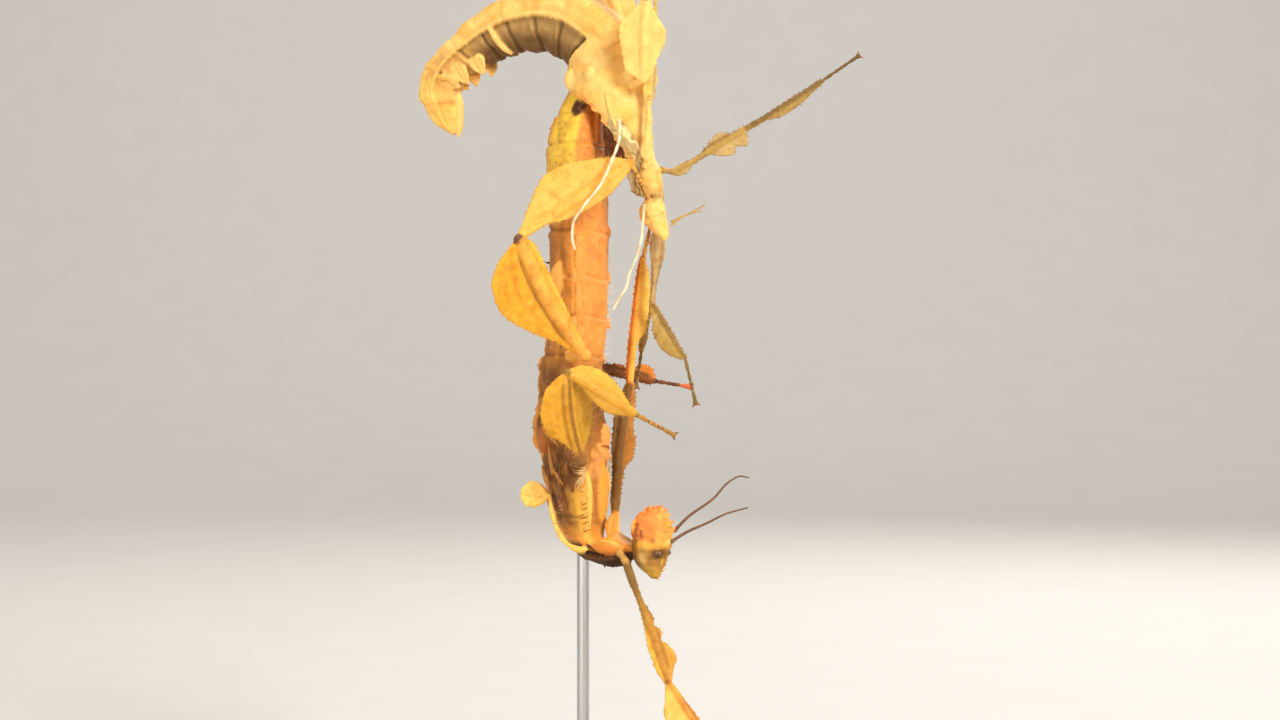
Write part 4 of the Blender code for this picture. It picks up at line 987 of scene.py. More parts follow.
def leg_forms(table, plane_x, foot_radius, wave, teeth, seed):
    """All six legs of one of the two bodies; femora and tibiae are returned apart for their spines.

    A root without a tint of its own takes the femur shaft's, and a foot a darker tibia shaft's.
    """
    forms, leaves = [], {}
    for number, (name, leg) in enumerate(table.items()):
        root = in_plane(plane_x, *leg["root"])
        hip, knee, ankle, claw = (np.array(leg[joint]) for joint in ("hip", "knee", "ankle", "claw"))
        femur_tints, tibia_tints = leg["tints"]
        root_tint = leg.get("coxa", femur_tints[0])
        marked = leg.get("marked", 1.0)
        shaft, shin = leg["shaft"], leg["shaft"] * SHIN_SHARE
        femur_turn, tibia_turn = leg.get("turn", (0, 0))
        femur = leaf(hip, knee, leg["leaves"][0], shaft, femur_turn, femur_tints, leg.get("bow", 0.0),
                     wave, teeth, seed + number, leg.get("crest", 1.0),
                     leg.get("base", leg.get("coxa")), leg.get("base_reach", 0.2), marked)
        tibia = leaf(knee, ankle, leg["leaves"][1], shin, tibia_turn, tibia_tints, 0.0,
                     wave, teeth, seed + 20 + number,
                     base=leg.get("tibia_base"), base_reach=0.6, marked=leg.get("tibia_marked", marked))
        forms += [femur, tibia, coxa(root, hip, shaft, root_tint, leg.get("coxa_bend", 0.0))]
        foot_tint = leg.get("foot", tibia_tints[0] * 0.85)
        toe = leg.get("toe", foot_tint * 0.8)
        forms += foot(ankle, claw, foot_radius, foot_tint, toe, 1.25 if "toe" in leg else 1.0)
        knee_tint = leg.get("knee_tint", tibia_tints[3])
        forms.append(ball(hip, (shaft * 1.15, shaft * 1.1, shaft * 1.05), root_tint, knee - hip))
        forms.append(ball(knee, (shaft * 1.0, shaft * 0.86, shaft * 0.86), knee_tint, ankle - knee))
        forms.append(ball(ankle, (shin * 0.95, shin * 0.9, shin * 0.9), tibia_tints[3], claw - ankle))
        leaves[name] = (femur, tibia)
    return forms, leaves


def tegmen(hand):
    """One paddle-shaped forewing, faintly veined and slightly cupped."""
    root = on_insect(TEGMEN_ROOT[0], TEGMEN_ROOT[1] * hand, TEGMEN_ROOT[2])
    tip = on_insect(TEGMEN_TIP[0], TEGMEN_TIP[1] * hand, TEGMEN_TIP[2])
    turn = 0 if hand > 0 else TEGMEN_RIGHT_TURN
    pale = srgb(254, 206, 106)
    return leaf(root, tip, (TEGMEN_REACH, TEGMEN_REACH), 0.3, turn, (pale, pale, pale, pale * 0.8),
                0.0, 0.15, 0.0, 40 + hand)


def thorax_ridges():
    """The pale ridge from the forewing's root to the neck, belly plates, folds and leg-root lobes."""
    forms = []
    folds = (srgb(196, 134, 66), srgb(116, 68, 28))
    for hand in (1, -1):
        ridge = insect_line(hand, (-13.4, 3.5, 87.2), (-12.2, 4.6, 83.6), (-10.8, 5.0, 80.0),
                            (-8.6, 4.6, 76.8), (-5.8, 3.6, 75.4), (-4.0, 3.4, 75.8))
        forms.append(rib(ridge, (0.35, 0.5, 0.62, 0.5, 0.66, 0.5, 0.8, 0.5), srgb(252, 200, 96)))
        for number, (start, bend, end, radius) in enumerate((
            ((-12.2, 5.2, 94.0), (-10.4, 5.9, 91.6), (-8.8, 5.6, 89.2), 0.4),
            ((-11.0, 5.8, 91.0), (-9.6, 5.7, 87.4), (-8.6, 5.0, 83.4), 0.5),
            ((-13.4, 5.2, 104.0), (-11.6, 6.2, 100.6), (-9.6, 6.3, 97.4), 0.85),
            ((-12.2, 5.8, 110.0), (-10.2, 6.4, 106.4), (-8.0, 6.2, 103.0), 0.8),
            ((-15.4, 3.4, 93.4), (-13.6, 4.8, 90.8), (-12.8, 4.6, 87.6), 0.7),
            ((-7.6, 5.9, 93.6), (-6.8, 5.9, 91.2), (-6.6, 5.5, 88.0), 0.45),
            ((-12.6, 5.4, 98.0), (-11.6, 5.9, 94.2), (-11.6, 5.5, 91.0), 0.6),
            ((-10.4, 5.9, 96.4), (-9.4, 6.1, 93.4), (-9.6, 5.8, 90.6), 0.4),
        )):
            forms.append(rib(insect_line(hand, start, bend, end), (0.2, radius, 0.2), folds[number % 2]))
        foot_of_edge = (-3.8, 3.2, 80.0) if hand > 0 else (-3.6, 3.8, 86.0)
        corner = insect_line(hand, (-3.9, 4.5, 92.4), (-3.4, 4.1, 89.4), (-3.4, 3.9, 87.6), foot_of_edge)
        forms.append(rib(corner, (0.3, 0.78, 0.7, 0.3), srgb(252, 196, 92)))
        forms.append(lobe((-6.4, 5.6, 97.2), (2.9, 2.1, 1.3), srgb(150, 92, 34), hand))
        # A dark rib along the prothorax's back: painted shade.
        pronotum = insect_line(hand, (-7.4, 3.0, 75.4), (-4.6, 3.2, 74.0), (-1.0, 3.1, 73.6),
                               (1.8, 2.9, 73.8), (4.4, 2.0, 74.2))
        forms.append(rib(pronotum, (0.35, 0.66, 0.6, 0.55, 0.3), srgb(84, 48, 14)))
        seam = insect_line(hand, (-4.4, 3.9, 76.8), (-3.4, 3.5, 76.0), (-2.2, 3.35, 75.0))
        forms.append(rib(seam, (0.1, 0.2, 0.1), DARK))
        forms.append(lobe((-14.4, 3.6, 99.0), (3.3, 1.9, 1.7), srgb(184, 108, 40), hand))
        front = on_insect(0.6, 2.5 * hand, 76.2)
        forms.append(oval(front, (BELLY_WAY, UP, LEFT_WAY), (3.9, 1.7, 1.2), srgb(232, 142, 48)))
        rim = insect_line(hand, (-3.0, 3.4, 76.8), (-0.4, 3.75, 77.6), (2.0, 3.5, 77.2), (4.2, 2.6, 76.2))
        forms.append(rib(rim, (0.1, 0.22, 0.1), srgb(248, 182, 88)))
    return forms + belly_plates() + [fore_coxa_lobe()]


def belly_plates():
    """The flat plates under the thorax, notched along the edge, and the long one by the front legs."""
    plate, lens, fold = srgb(252, 170, 88), srgb(248, 168, 60), srgb(170, 98, 40)
    forms = []
    for place, (long, wide) in (
        ((-3.5, -3.4, 99.4), (2.7, 2.0)), ((-3.4, -1.0, 95.8), (2.2, 4.2)), ((-3.3, 0.8, 92.4), (2.1, 3.6)),
        ((-3.7, -4.6, 95.2), (1.0, 0.9)),
    ):
        forms.append(oval(on_insect(*place), (UP, LEFT_WAY, BELLY_WAY), (long, wide, 0.7), plate))
    notch = insect_line(1, (-2.9, -0.6, 97.6), (-2.7, -2.8, 97.3), (-3.1, -4.9, 97.0))
    forms.append(rib(notch, (0.04, 0.14, 0.14), fold))
    middle = on_insect(-3.2, -1.2, 87.6)
    forms.append(oval(middle, ((0.02, 0.0, 1.0), LEFT_WAY, BELLY_WAY), (6.6, 2.5, 1.2), lens))
    border = insect_line(1, (-3.1, 1.7, 88.4), (-3.1, 1.9, 85.4), (-3.4, 1.0, 81.6))
    forms.append(rib(border, (0.04, 0.2, 0.08), fold))
    return forms


def fore_coxa_lobe():
    """The pointed lobe at the root of the far front leg."""
    orange = srgb(254, 168, 72)
    return leaf((-5.9, 2.6, 77.8), (-4.7, 5.4, 83.0), COXA_LOBE, 0.5, 0,
                (orange, orange, srgb(254, 206, 118), srgb(254, 150, 66)), 0.0, 0.1, 0.0, 61, marked=0.3)


def abdomen_lobes():
    """The pale side lobes of the abdomen's segments, and the plates at its tip."""
    forms = []
    for hand in (1, -1):
        for height, size in ((152.0, 2.4), (133.4, 3.6)):
            forms.append(lobe((-8.8, 6.9, height), (size, 2.5, 0.95), srgb(250, 176, 84), hand))
        tail_places = (-6.2, 3.0, 166.0), (-5.4, 2.4, 171.0), (-5.2, 1.6, 175.0), (-5.6, 1.0, 177.8)
        tail = insect_line(hand, *tail_places)
        forms.append(rib(tail, (0.7, 0.8, 0.6, 0.35), srgb(236, 156, 60)))
    for height in (153.6, 143.9, 133.8, 123.9):
        for hand in (1, -1):
            forms.append(lobe((-4.9, 7.5, height), (1.3, 0.5, 0.5), srgb(252, 170, 84), hand))
    keel = insect_line(1, (-4.0, 0.0, 163.0), (-3.7, 0.0, 168.0), (-3.8, 0.0, 173.0), (-4.6, 0.0, 177.2))
    forms.append(rib(keel, (0.4, 0.9, 0.8, 0.4), srgb(250, 152, 60)))
    return forms


# The shed skin.


def on_skin(forward, side, height):
    """A point in the shed skin's own directions."""
    return in_plane(SKIN_X, forward, side, height)


def skin_line(*places):
    """A route on the shed skin."""
    return [on_skin(*place) for place in places]


def surface_rib(form, stops, radii, tint):
    """A low ridge over a form, through stops of (share of the rows, column)."""
    rows = form.grid.shape[0]
    points = [form.grid[min(int(share * rows), rows - 1), column] for share, column in stops]
    return rib(points, radii, tint)


def shed_trunk():
    """The curled abdomen: a smooth pale outer band, and thin brown plates along the inner side, darkened
    towards the back with painted shade.
    """
    grid, side, rise, along = trunk(SKIN_X, SKIN_ABDOMEN, BODY_SECTION, 0.4, 120)
    crease = np.zeros(along.shape)
    lift = np.zeros(along.shape)
    inner = ramp(rise, 0.44, 0.5)
    for joint in SHED_JOINTS:
        beyond = (along - joint) * 62 + 0.5 * np.sin(side * 2.2)
        crease = np.maximum(crease, bump(beyond, 0.3, 0.3))
        fold = 0.3 * bump(beyond, -0.8, 0.6) - 0.5 * bump(beyond, 0.3, 0.4)
        lift += fold * (0.3 + 0.9 * inner)
        lift += 0.5 * bump(beyond, -3.6, 2.2) * ramp(rise, 0.6, 0.95)
    rail = bump(rise, 0.43, 0.03)
    lift += 0.5 * rail - 0.5 * bump(rise, 0.52, 0.05) - 0.25 * bump(rise, 0.2, 0.06)
    lift += 0.28 * field(grid, 5.0, 21) + 0.1 * field(grid, 1.7, 22)
    curled = ramp(along, 0.3, 0.42)
    tint = mix(np.broadcast_to(HUSK, grid.shape), HUSK_PALE, np.clip(0.4 + field(grid, 7.0, 23), 0, 1))
    smudge = ramp(field(grid, 5.0, 24), 0.45, 1.0) * (1 - ramp(along, 0.45, 0.6))
    tint = mix(tint, srgb(176, 122, 56), 0.4 * smudge * ramp(rise, 0.03, 0.25))
    stain_and_shadow = bump(along, 0.26, 0.07) * ramp(rise, 0.12, 0.24) * (1 - ramp(rise, 0.4, 0.46))
    tint = mix(tint, srgb(160, 112, 50), 0.55 * stain_and_shadow * ramp(field(grid, 2.6, 25), -0.5, 0.3))
    # The inner plates: the husk's own brown, with painted shade deepening it towards the back.
    plates = mix(np.broadcast_to(srgb(176, 138, 80), grid.shape), srgb(116, 82, 40), ramp(rise, 0.58, 0.9))
    tint = mix(tint, plates, inner * curled)
    tint = mix(tint, srgb(206, 154, 78), 0.7 * inner * (1 - curled) * ramp(along, 0.12, 0.2))
    tint = mix(tint, HUSK_PALE, rail)
    tint = mix(tint, srgb(76, 50, 24), (0.1 + 0.75 * inner) * crease)
    tint = mix(tint, HUSK, (1 - ramp(along, 0.1, 0.16)) * (1 - bump(rise, 0.0, 0.1)))
    return Form(grid, tint).swell(lift)


def trough():
    """The split thorax: one thin wall from lip to lip, torn at the edge and creased."""
    flat = np.array([[*belly, *back, width, wrap] for belly, back, width, wrap in SKIN_THORAX])
    middle = (flat[:, 0:2] + flat[:, 2:4]) / 2
    keys = np.concatenate(([0.0], np.cumsum(np.linalg.norm(np.diff(middle, axis=0), axis=1))))
    at = np.linspace(0, keys[-1], int(keys[-1] / 0.3))
    rows = through(keys, flat, at)
    line = np.stack((at, at * 0, at * 0), -1)
    torn = 4.0 * field(line, 3.5, 31) + 3.0 * field(line, 1.3, 32)
    wrap = np.radians(rows[:, 5] + np.where(rows[:, 5] < 165, torn, 0))
    turn = wrap[:, None] * np.linspace(-1, 1, 110)[None, :]
    centre = (rows[:, 0:2] + rows[:, 2:4]) / 2
    arm = rows[:, 0:2] - centre
    radius = np.linalg.norm(arm, axis=1)[:, None]
    layers = []
    for shrink in (0.0, SKIN_WALL):
        reach = np.cos(turn) * (radius - shrink) / radius
        forward = centre[:, 0:1] + arm[:, 0:1] * reach
        height = centre[:, 1:2] + arm[:, 1:2] * reach
        layers.append(in_plane(SKIN_X, forward, np.sin(turn) * (rows[:, 4:5] - shrink), height))
    outer_face, inner_face = layers
    lip = ramp(np.abs(turn) / wrap[:, None], 0.86, 1.0)
    height = outer_face[..., 2]
    wrinkle = 0.2 * field(outer_face, 3.6, 33) + 0.08 * field(outer_face * (1, 1, 0.5), 1.1, 34)
    shift = wrinkle + 0.3 * lip * field(outer_face, 1.8, 35)
    axis = outer_face - inner_face
    axis /= np.linalg.norm(axis, axis=-1, keepdims=True)
    shift = axis * shift[..., None]
    grid = np.concatenate((outer_face + shift, (inner_face + shift)[:, ::-1]), axis=1)
    clouds = np.clip(0.3 + field(outer_face, 6.0, 36), 0, 1)
    outer = mix(np.broadcast_to(HUSK_PALE, outer_face.shape), HUSK, clouds)
    # Painted glow: the insect's orange showing through the thin wall near the lip.
    glow = ramp(lip, 0.0, 0.6) * bump(height, 171, 6.0)
    outer = mix(outer, srgb(252, 160, 70), 0.75 * glow)
    outer = mix(outer, HUSK_BROWN, 0.2 * ramp(field(outer_face, 3.0, 37), 0.85, 1.2))
    inner = mix(outer, HUSK_GREY, 0.6)[:, ::-1]
    return Form(grid, np.concatenate((outer, inner), axis=1))


def shed_neck():
    """The ringed neck, with painted shadow in front where it meets the head."""
    grid, side, rise, along = trunk(SKIN_X, SKIN_NECK, HEAD_SECTION, 0.25, 80)
    rings = np.sin(along * 26)
    lift = 0.08 * rings + 0.1 * field(grid, 1.8, 41)
    tint = mix(np.broadcast_to(HUSK_PALE, grid.shape), HUSK, np.clip(0.3 + field(grid, 2.5, 42), 0, 1))
    # Painted shadow in front, where the neck meets the head.
    stain_and_shadow = bump(grid[..., 2], 150.6, 1.3) * bump(rise, 0.2, 0.3) * (side > -0.2)
    return Form(grid, mix(tint, HUSK_BROWN, 0.12 * np.clip(-rings, 0, 1) + 0.8 * stain_and_shadow)).swell(lift)


def shed_skull():
    """The empty head, with its open seam and sunken eyes."""
    grid, side, rise, _ = trunk(SKIN_X, SKIN_HEAD, HEAD_SECTION, 0.22, 88)
    seam = bump(grid[..., 2], 147.2 - 1.0 * np.abs(side), 0.3)
    hollow = bump(grid[..., 2], 146.0, 0.8) * bump(rise, 0.5, 0.14)
    lift = 0.09 * field(grid, 1.3, 44) - 0.14 * seam - 0.25 * hollow
    tint = mix(np.broadcast_to(HUSK_PALE, grid.shape), HUSK, np.clip(0.2 + field(grid, 2.0, 45), 0, 1))
    return Form(grid, mix(tint, HUSK_BROWN, 0.2 * seam + 0.3 * hollow)).swell(lift)


def shed_ribs(trunk_form):
    """Rails and knobs of the shed thorax, a pale band across the plates, and the tail's flaps."""
    forms = []
    for hand in (1, -1):
        rail = [on_skin(a, b * hand, c) for a, b, c in (
            (-2.6, 7.2, 172.4), (-1.6, 7.3, 169.2), (0.4, 6.0, 163.6), (3.0, 4.2, 158.4))]
        forms.append(rib(rail, (0.1, 0.4, 0.5, 0.3), HUSK_PALE))
        for forward, side, height, size in (
            (2.2, 4.6, 176.4, 1.5), (-6.4, 7.1, 176.6, 1.4), (-12.0, 5.0, 176.2, 1.8),
        ):
            knob = on_skin(forward, side * hand, height)
            radii = (size * 1.3, size, size * 0.7)
            forms.append(oval(knob, (UP, BELLY_WAY, LEFT_WAY), radii, HUSK_PALE))
        for number, (root, tip) in enumerate(TAIL_FLAPS):
            start, end = on_skin(root[0], 3.0 * hand, root[1]), on_skin(tip[0], 1.6 * hand, tip[1])
            forms.append(leaf(start, end, (FLAP_REACH, FLAP_REACH), 0.4, 25 * hand, FLAP_TINTS, 0.0, 0.2, 0.0,
                              300 + number, marked=0.3))
        columns = (34, 42, 50, 57) if hand > 0 else (86, 78, 70, 63)
        band = list(zip((0.51, 0.515, 0.52, 0.53), columns))
        forms.append(surface_rib(trunk_form, band, (0.5, 0.65, 0.65, 0.5), HUSK_PALE))
    hem = skin_line((-43.9, 0.0, 176.0), (-43.7, 0.0, 171.4), (-43.7, 0.0, 168.0), (-44.0, 0.0, 165.8))
    forms.append(rib(hem, (0.5, 1.0, 0.9, 0.3), HUSK_PALE))
    return forms


def crumpled(corners, depth, tint, shade, seed, pleats=3.2):
    """A thin torn membrane between two edges, each a route, pleated along its length and ragged, with painted
    light and shade on the pleats.
    """
    first, second = (route(edge, 60)[0] for edge in corners)
    across = np.linspace(0, 1, 46)[None, :, None]
    sheet = first[:, None] * (1 - across) + second[:, None] * across
    along = np.gradient(sheet, axis=0)
    sideways = np.gradient(sheet, axis=1)
    normal = np.cross(along, sideways)
    normal /= np.linalg.norm(normal, axis=-1, keepdims=True)
    pleat = np.sin(math.tau * (pleats * across[..., 0] + 0.35 * field(sheet, 2.6, seed)))
    crease = depth * pleat + depth * 0.3 * field(sheet, 1.1, seed + 1)
    sheet = sheet + normal * crease[..., None]
    ragged = 0.5 * field(sheet, 1.2, seed + 2) * (np.abs(across[..., 0] - 0.5) > 0.46)
    sheet = sheet + sideways / np.linalg.norm(sideways, axis=-1, keepdims=True) * ragged[..., None]
    half = normal * 0.09
    grid = np.concatenate((sheet + half, (sheet - half)[:, ::-1]), axis=1)
    # Painted light and shade on the pleats: the crests take the tint and the hollows the shade.
    tints = mix(np.broadcast_to(shade, sheet.shape), tint, ramp(pleat, 0.0, 0.8))
    return Form(grid, np.concatenate((tints, tints[:, ::-1]), axis=1))


def membranes():
    """The lining that the insect drew out of, hanging at the split's lower end, and a dark sheet of painted
    shadow inside the split.
    """
    cream, grey, brown = srgb(250, 222, 160), srgb(188, 162, 112), srgb(90, 54, 20)
    near_lining = crumpled((
        skin_line((-1.4, 7.1, 168.4), (1.2, 6.3, 166.0), (3.8, 4.8, 162.4), (4.6, 3.6, 158.2)),
        skin_line((-2.2, 6.9, 165.8), (0.2, 6.2, 162.4), (2.4, 4.8, 159.0), (3.6, 3.6, 155.6)),
    ), 0.16, cream, grey, 51, 1.1)
    # A dark brown sheet that stands in for the shadow inside the split: painted shadow.
    shadow_sheet = crumpled((
        skin_line((-5.0, 4.4, 168.0), (-2.4, 3.8, 166.8), (0.4, 3.0, 165.6), (2.6, 2.2, 163.0)),
        skin_line((-4.2, 3.6, 156.0), (-2.4, 3.6, 155.8), (0.8, 3.0, 155.4), (2.8, 2.2, 154.2)),
    ), 0.3, brown * 1.4, brown, 57, 2.2)
    neck_piece = crumpled((
        skin_line((0.6, 3.4, 157.2), (1.2, 3.6, 154.2), (2.4, 3.2, 151.0)),
        skin_line((3.4, 3.9, 156.8), (3.8, 4.0, 153.4), (4.6, 3.2, 150.4)),
    ), 0.2, grey * 1.1, grey * 0.8, 59, 1.3)
    return [near_lining, shadow_sheet, neck_piece]


# Small pieces that stay apart: spines and bristles, claws, eyes, feelers and threads.


class Spines:
    """Many small cones, with a patch each on the unwrap of the form that it stands on."""

    def __init__(self, seed):
        """The seed settles every spine's lean, size and spacing."""
        self.random = np.random.default_rng(seed)
        self.points, self.faces, self.tints, self.patches = [], [], [], []

    def add(self, root, way, length, radius, tint, tile=0, place=(0.5, 0.5), bend=0.15, sides=7):
        """One spine from its root along way; tile and place say where it lies on the unwrap."""
        way = way / np.linalg.norm(way)
        lean = np.cross(way, self.random.normal(size=3))
        lean /= np.linalg.norm(lean)
        other = np.cross(way, lean)
        start = len(self.points)
        angles = np.linspace(0, math.tau, sides, endpoint=False)
        for share, girth in SPINE_BANDS:
            centre = root + way * length * share + lean * (bend * length * share * abs(share))
            for angle in angles:
                spoke = lean * math.cos(angle) + other * math.sin(angle)
                self.points.append(centre + spoke * radius * girth)
                self.tints.append(tint * (0.75 + 0.35 * max(share, 0)))
        self.points.append(root + way * length + lean * bend * length)
        self.tints.append(tint * 1.15)
        row, column = divmod(tile, TILES_ACROSS)
        within = 1 - 2 * TILE_MARGIN
        u = (column + TILE_MARGIN + within * place[0]) / TILES_ACROSS
        v = (row % TILES_ACROSS + TILE_MARGIN + within * place[1]) / TILES_ACROSS
        last = len(SPINE_BANDS) - 1
        for band in range(last):
            for i in range(sides):
                j = (i + 1) % sides
                low, high = start + band * sides, start + (band + 1) * sides
                corners = ((i, band), (i + 1, band), (i + 1, band + 1), (i, band + 1))
                self.face((low + i, low + j, high + j, high + i), corners, u, v, sides)
        ring = start + last * sides
        for i in range(sides):
            corners = ((i, last - 1), (i + 1, last - 1), (i + 0.5, last))
            self.face((ring + i, ring + (i + 1) % sides, ring + sides), corners, u, v, sides)
        foot = tuple(range(start + sides - 1, start - 1, -1))
        self.face(foot, [(i, 0) for i in range(sides)], u, v, sides)

    def face(self, corners, steps, u, v, sides):
        """One face and its patch on the unwrap, whose steps go round and up the spine."""
        self.faces.append(corners)
        self.patches.append([(u + PATCH_WIDTH * a / sides, v + PATCH_RISE * b) for a, b in steps])

    def scatter(self, form, row_share, columns, spacing, length, radius, tint, lean=(0, 0, 0), jitter=0.3):
        """Spines about every spacing along a form, on the given columns."""
        normals = outward(form.grid)
        rows, width = form.grid.shape[:2]
        for column in columns:
            line = form.grid[:, column]
            keys = np.concatenate(([0.0], np.cumsum(np.linalg.norm(np.diff(line, axis=0), axis=1))))
            at = keys[-1] * row_share[0]
            while at < keys[-1] * row_share[1]:
                at += spacing * self.random.uniform(1 - jitter, 1 + jitter)
                row = min(int(np.searchsorted(keys, at)), rows - 1)
                size = self.random.uniform(0.6, 1.25)
                self.add(form.grid[row, column], normals[row, column] + np.array(lean), length * size,
                         radius * size ** 0.5, tint, form.tile, (row / rows, column / width))

    def piece(self, name, slot_name, finish):
        """All the spines as one piece, with their unwrap."""
        made = new_object(name, np.array(self.points), self.faces, np.array(self.tints), finish)
        layer = made.data.uv_layers.new(name="OFBake")
        flat = [uv for patch in self.patches for uv in patch]
        layer.data.foreach_set("uv", np.array(flat, np.float32).ravel())
        return made


def fringe(spines, trunk_form, hand):
    """The pale comb behind the middle leg's root, and the saw-like edge below it."""
    outward_way = 0.69 * hand * np.array(LEFT_WAY) - 0.766 * np.array(BELLY_WAY)
    for step in range(12):
        root = on_insect(-3.5 - 0.05 * step, 5.7 * hand, 94.9 - 0.45 * step)
        way = outward_way + np.array(UP) * (0.1 - 0.06 * step + 0.14 * math.sin(step * 2.1))
        size = 2.7 - 0.06 * step + 0.5 * math.sin(step * 1.7)
        spines.add(root, way, size, 0.17, srgb(252, 216, 158), trunk_form.tile, (0.7, 0.2), 0.5)
    for step in range(10):
        height = 88.8 - 0.98 * step + 0.2 * math.sin(step * 2.3)
        root = on_insect(-3.9, (4.7 - 0.11 * step) * hand, height)
        way = outward_way - np.array(UP) * 0.7
        size = 1.2 + 0.3 * math.sin(step * 3.1)
        spines.add(root, way, size, 0.5, srgb(250, 194, 92), trunk_form.tile, (0.78, 0.2))
        gap = on_insect(-4.2, (4.75 - 0.11 * step) * hand, height - 0.5)
        spines.add(gap, way, size * 0.8, 0.24, srgb(176, 110, 44), trunk_form.tile, (0.78, 0.2))


def body_spines(trunk_form, head_form, leaves):
    """The insect's spines: along the trunk's edges and back, on the crown and on the leaves' edges."""
    spines = Spines(71)
    pale, brown = srgb(252, 196, 100), srgb(150, 92, 36)
    for column in (24, 25, 108, 107):
        spines.scatter(trunk_form, (0.1, 0.55), (column,), 1.3, 0.62, 0.17, pale)
    spines.scatter(trunk_form, (0.08, 0.98), (64, 68), 5.2, 0.7, 0.24, brown)
    spines.scatter(trunk_form, (0.1, 0.9), (40, 50, 82, 92), 4.0, 0.4, 0.18, brown)
    spines.scatter(head_form, (0.6, 0.98), (50, 54), 0.9, 0.62, 0.2, srgb(232, 170, 70))
    spines.scatter(head_form, (0.14, 0.5), (49, 52, 55), 1.2, 0.45, 0.16, srgb(254, 190, 90))
    for hand in (1, -1):
        fringe(spines, trunk_form, hand)
        for height, side in ((83.4, 4.9), (81.2, 5.3), (79.0, 5.3), (77.2, 4.6)):
            root = on_insect(-11.4 + (83.4 - height) * 0.35, side * hand, height)
            way = np.array((-0.9, -0.5 * hand, 0.35))
            spines.add(root, way, 1.2, 0.24, srgb(252, 214, 130), trunk_form.tile, (0.8, 0.3))
        spines.add(on_insect(-14.6, 1.6 * hand, 137.0), np.array((-1.0, -0.1, 0.3)), 1.3, 0.3, DARK,
                   trunk_form.tile, (0.34, 0.5))
    for name, (femur, tibia) in leaves.items():
        for form in (femur, tibia):
            tint = form.tint[form.grid.shape[0] // 2, 3]
            size = 0.42 * LEGS[name].get("spines", 1.0)
            spines.scatter(form, (0.12, 0.92), (0, LEAF_COLUMNS - 1), 1.05, size, 0.15, tint * 0.9)
            spines.scatter(form, (0.1, 0.95), (LEAF_COLUMNS // 2,), 2.8, 0.35, 0.12, brown)
    return spines


def bristles(trunk_form, leaves):
    """Fine pale hairs on the trunk and the limbs, longest along the belly's edge."""
    hairs = Spines(73)
    white = srgb(252, 226, 176)
    hairs.scatter(trunk_form, (0.3, 0.99), (28, 44, 88, 104), 1.2, 0.7, 0.05, white)
    lean = (1.0, 0, 0.25)
    hairs.scatter(trunk_form, (0.36, 0.54), (107, 109), 1.0, 1.9, 0.09, srgb(255, 246, 224), lean, 0.6)
    for femur, tibia in leaves.values():
        for form in (femur, tibia):
            hairs.scatter(form, (0.02, 0.98), (0, LEAF_COLUMNS // 2, LEAF_COLUMNS - 1), 1.1, 0.6, 0.04, white)
    return hairs


def shed_spines(trunk_form, leaves):
    """The shed skin's spines; its empty fore femora carry none."""
    spines = Spines(79)
    for column in (21, 23, 34, 99, 97, 86):
        spines.scatter(trunk_form, (0.02, 0.96), (column,), 1.5, 0.5, 0.16, HUSK_PALE)
    spines.scatter(trunk_form, (0.3, 0.92), (54, 66), 3.6, 0.7, 0.2, HUSK_BROWN)
    for name, (femur, tibia) in leaves.items():
        tint = HUSK_PALE if "marked" in SKIN_LEGS[name] else HUSK_BROWN * 1.5
        for form in (tibia,) if name.startswith("fore") else (femur, tibia):
            spines.scatter(form, (0.05, 0.95), (0, LEAF_COLUMNS - 1), 0.95, 0.42, 0.12, tint)
    return spines


def claws(table, radius, tint):
    """A pair of hooked claws on each foot."""
    count = 24
    share = np.linspace(0, 1, count)
    girth = np.interp(share, (0, 0.5, 1), (radius, radius * 0.75, radius * 0.12))
    hooks = []
    for leg in table.values():
        ankle, claw = np.array(leg["ankle"]), np.array(leg["claw"])
        way = (claw - ankle) / np.linalg.norm(claw - ankle)
        normal, across = leaf_frame(way, 0)
        for hand in (1, -1):
            root = claw - way * 0.55 + across * 0.25 * hand
            knuckle = claw + way * 0.15 + across * 0.75 * hand
            tip = claw + way * 0.35 + across * 0.95 * hand - normal * 0.65
            path, _ = route([root, knuckle, tip], count)
            grid = tube_grid(path, girth, 12)
            hooks.append(Form(grid, mix(np.broadcast_to(tint, grid.shape), DARK, share[:, None])))
    return hooks


def feeler(points, thick, thin, bead, tint, dark_tint):
    """A feeler of short joints, each a little swollen at its far end."""
    count, thick_root = 260, 26
    path, length = route(points, count)
    share = np.linspace(0, 1, count)
    within = (share * length / bead) % 1
    girth = (thick + (thin - thick) * share) * (0.86 + 0.2 * np.sin(math.pi * within ** 1.5))
    girth[:thick_root] *= np.linspace(1.35, 1.0, thick_root)
    grid = tube_grid(path, girth, 14)
    joint = np.maximum(bump(within, 0.0, 0.12), bump(within, 1.0, 0.12))
    shade = (0.7 * joint + 0.25 * share)[:, None]
    return Form(grid, mix(np.broadcast_to(tint, grid.shape), dark_tint, shade))


def thread(points, thick, thin, seed):
    """A thread left from an air tube: soft, slightly lumpy, and frayed thin at its end."""
    count = 200
    path, length = route(points, count)
    share = np.linspace(0, 1, count)
    lumps = 1 + 0.18 * field(path, 2.2, seed) + 0.06 * np.sin(share * length * 9)
    girth = (thick + (thin - thick) * share) * lumps * ramp(1 - share, -0.35, 0.05)
    white = srgb(238, 226, 198)
    grid = tube_grid(path, girth, 12)
    dull = np.clip(field(grid, 3.0, seed), 0, 0.5)
    return Form(grid, mix(np.broadcast_to(white, grid.shape), HUSK_GREY, dull))


def plain_piece(name, forms, slot_name, finish, *nodes):
    """Forms joined as they are, standing for the CAD nodes named."""
    points, faces, tint = joined(forms)
    made = new_object(name, points, faces, tint, finish)
    if nodes:
        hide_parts(*nodes)
    return made


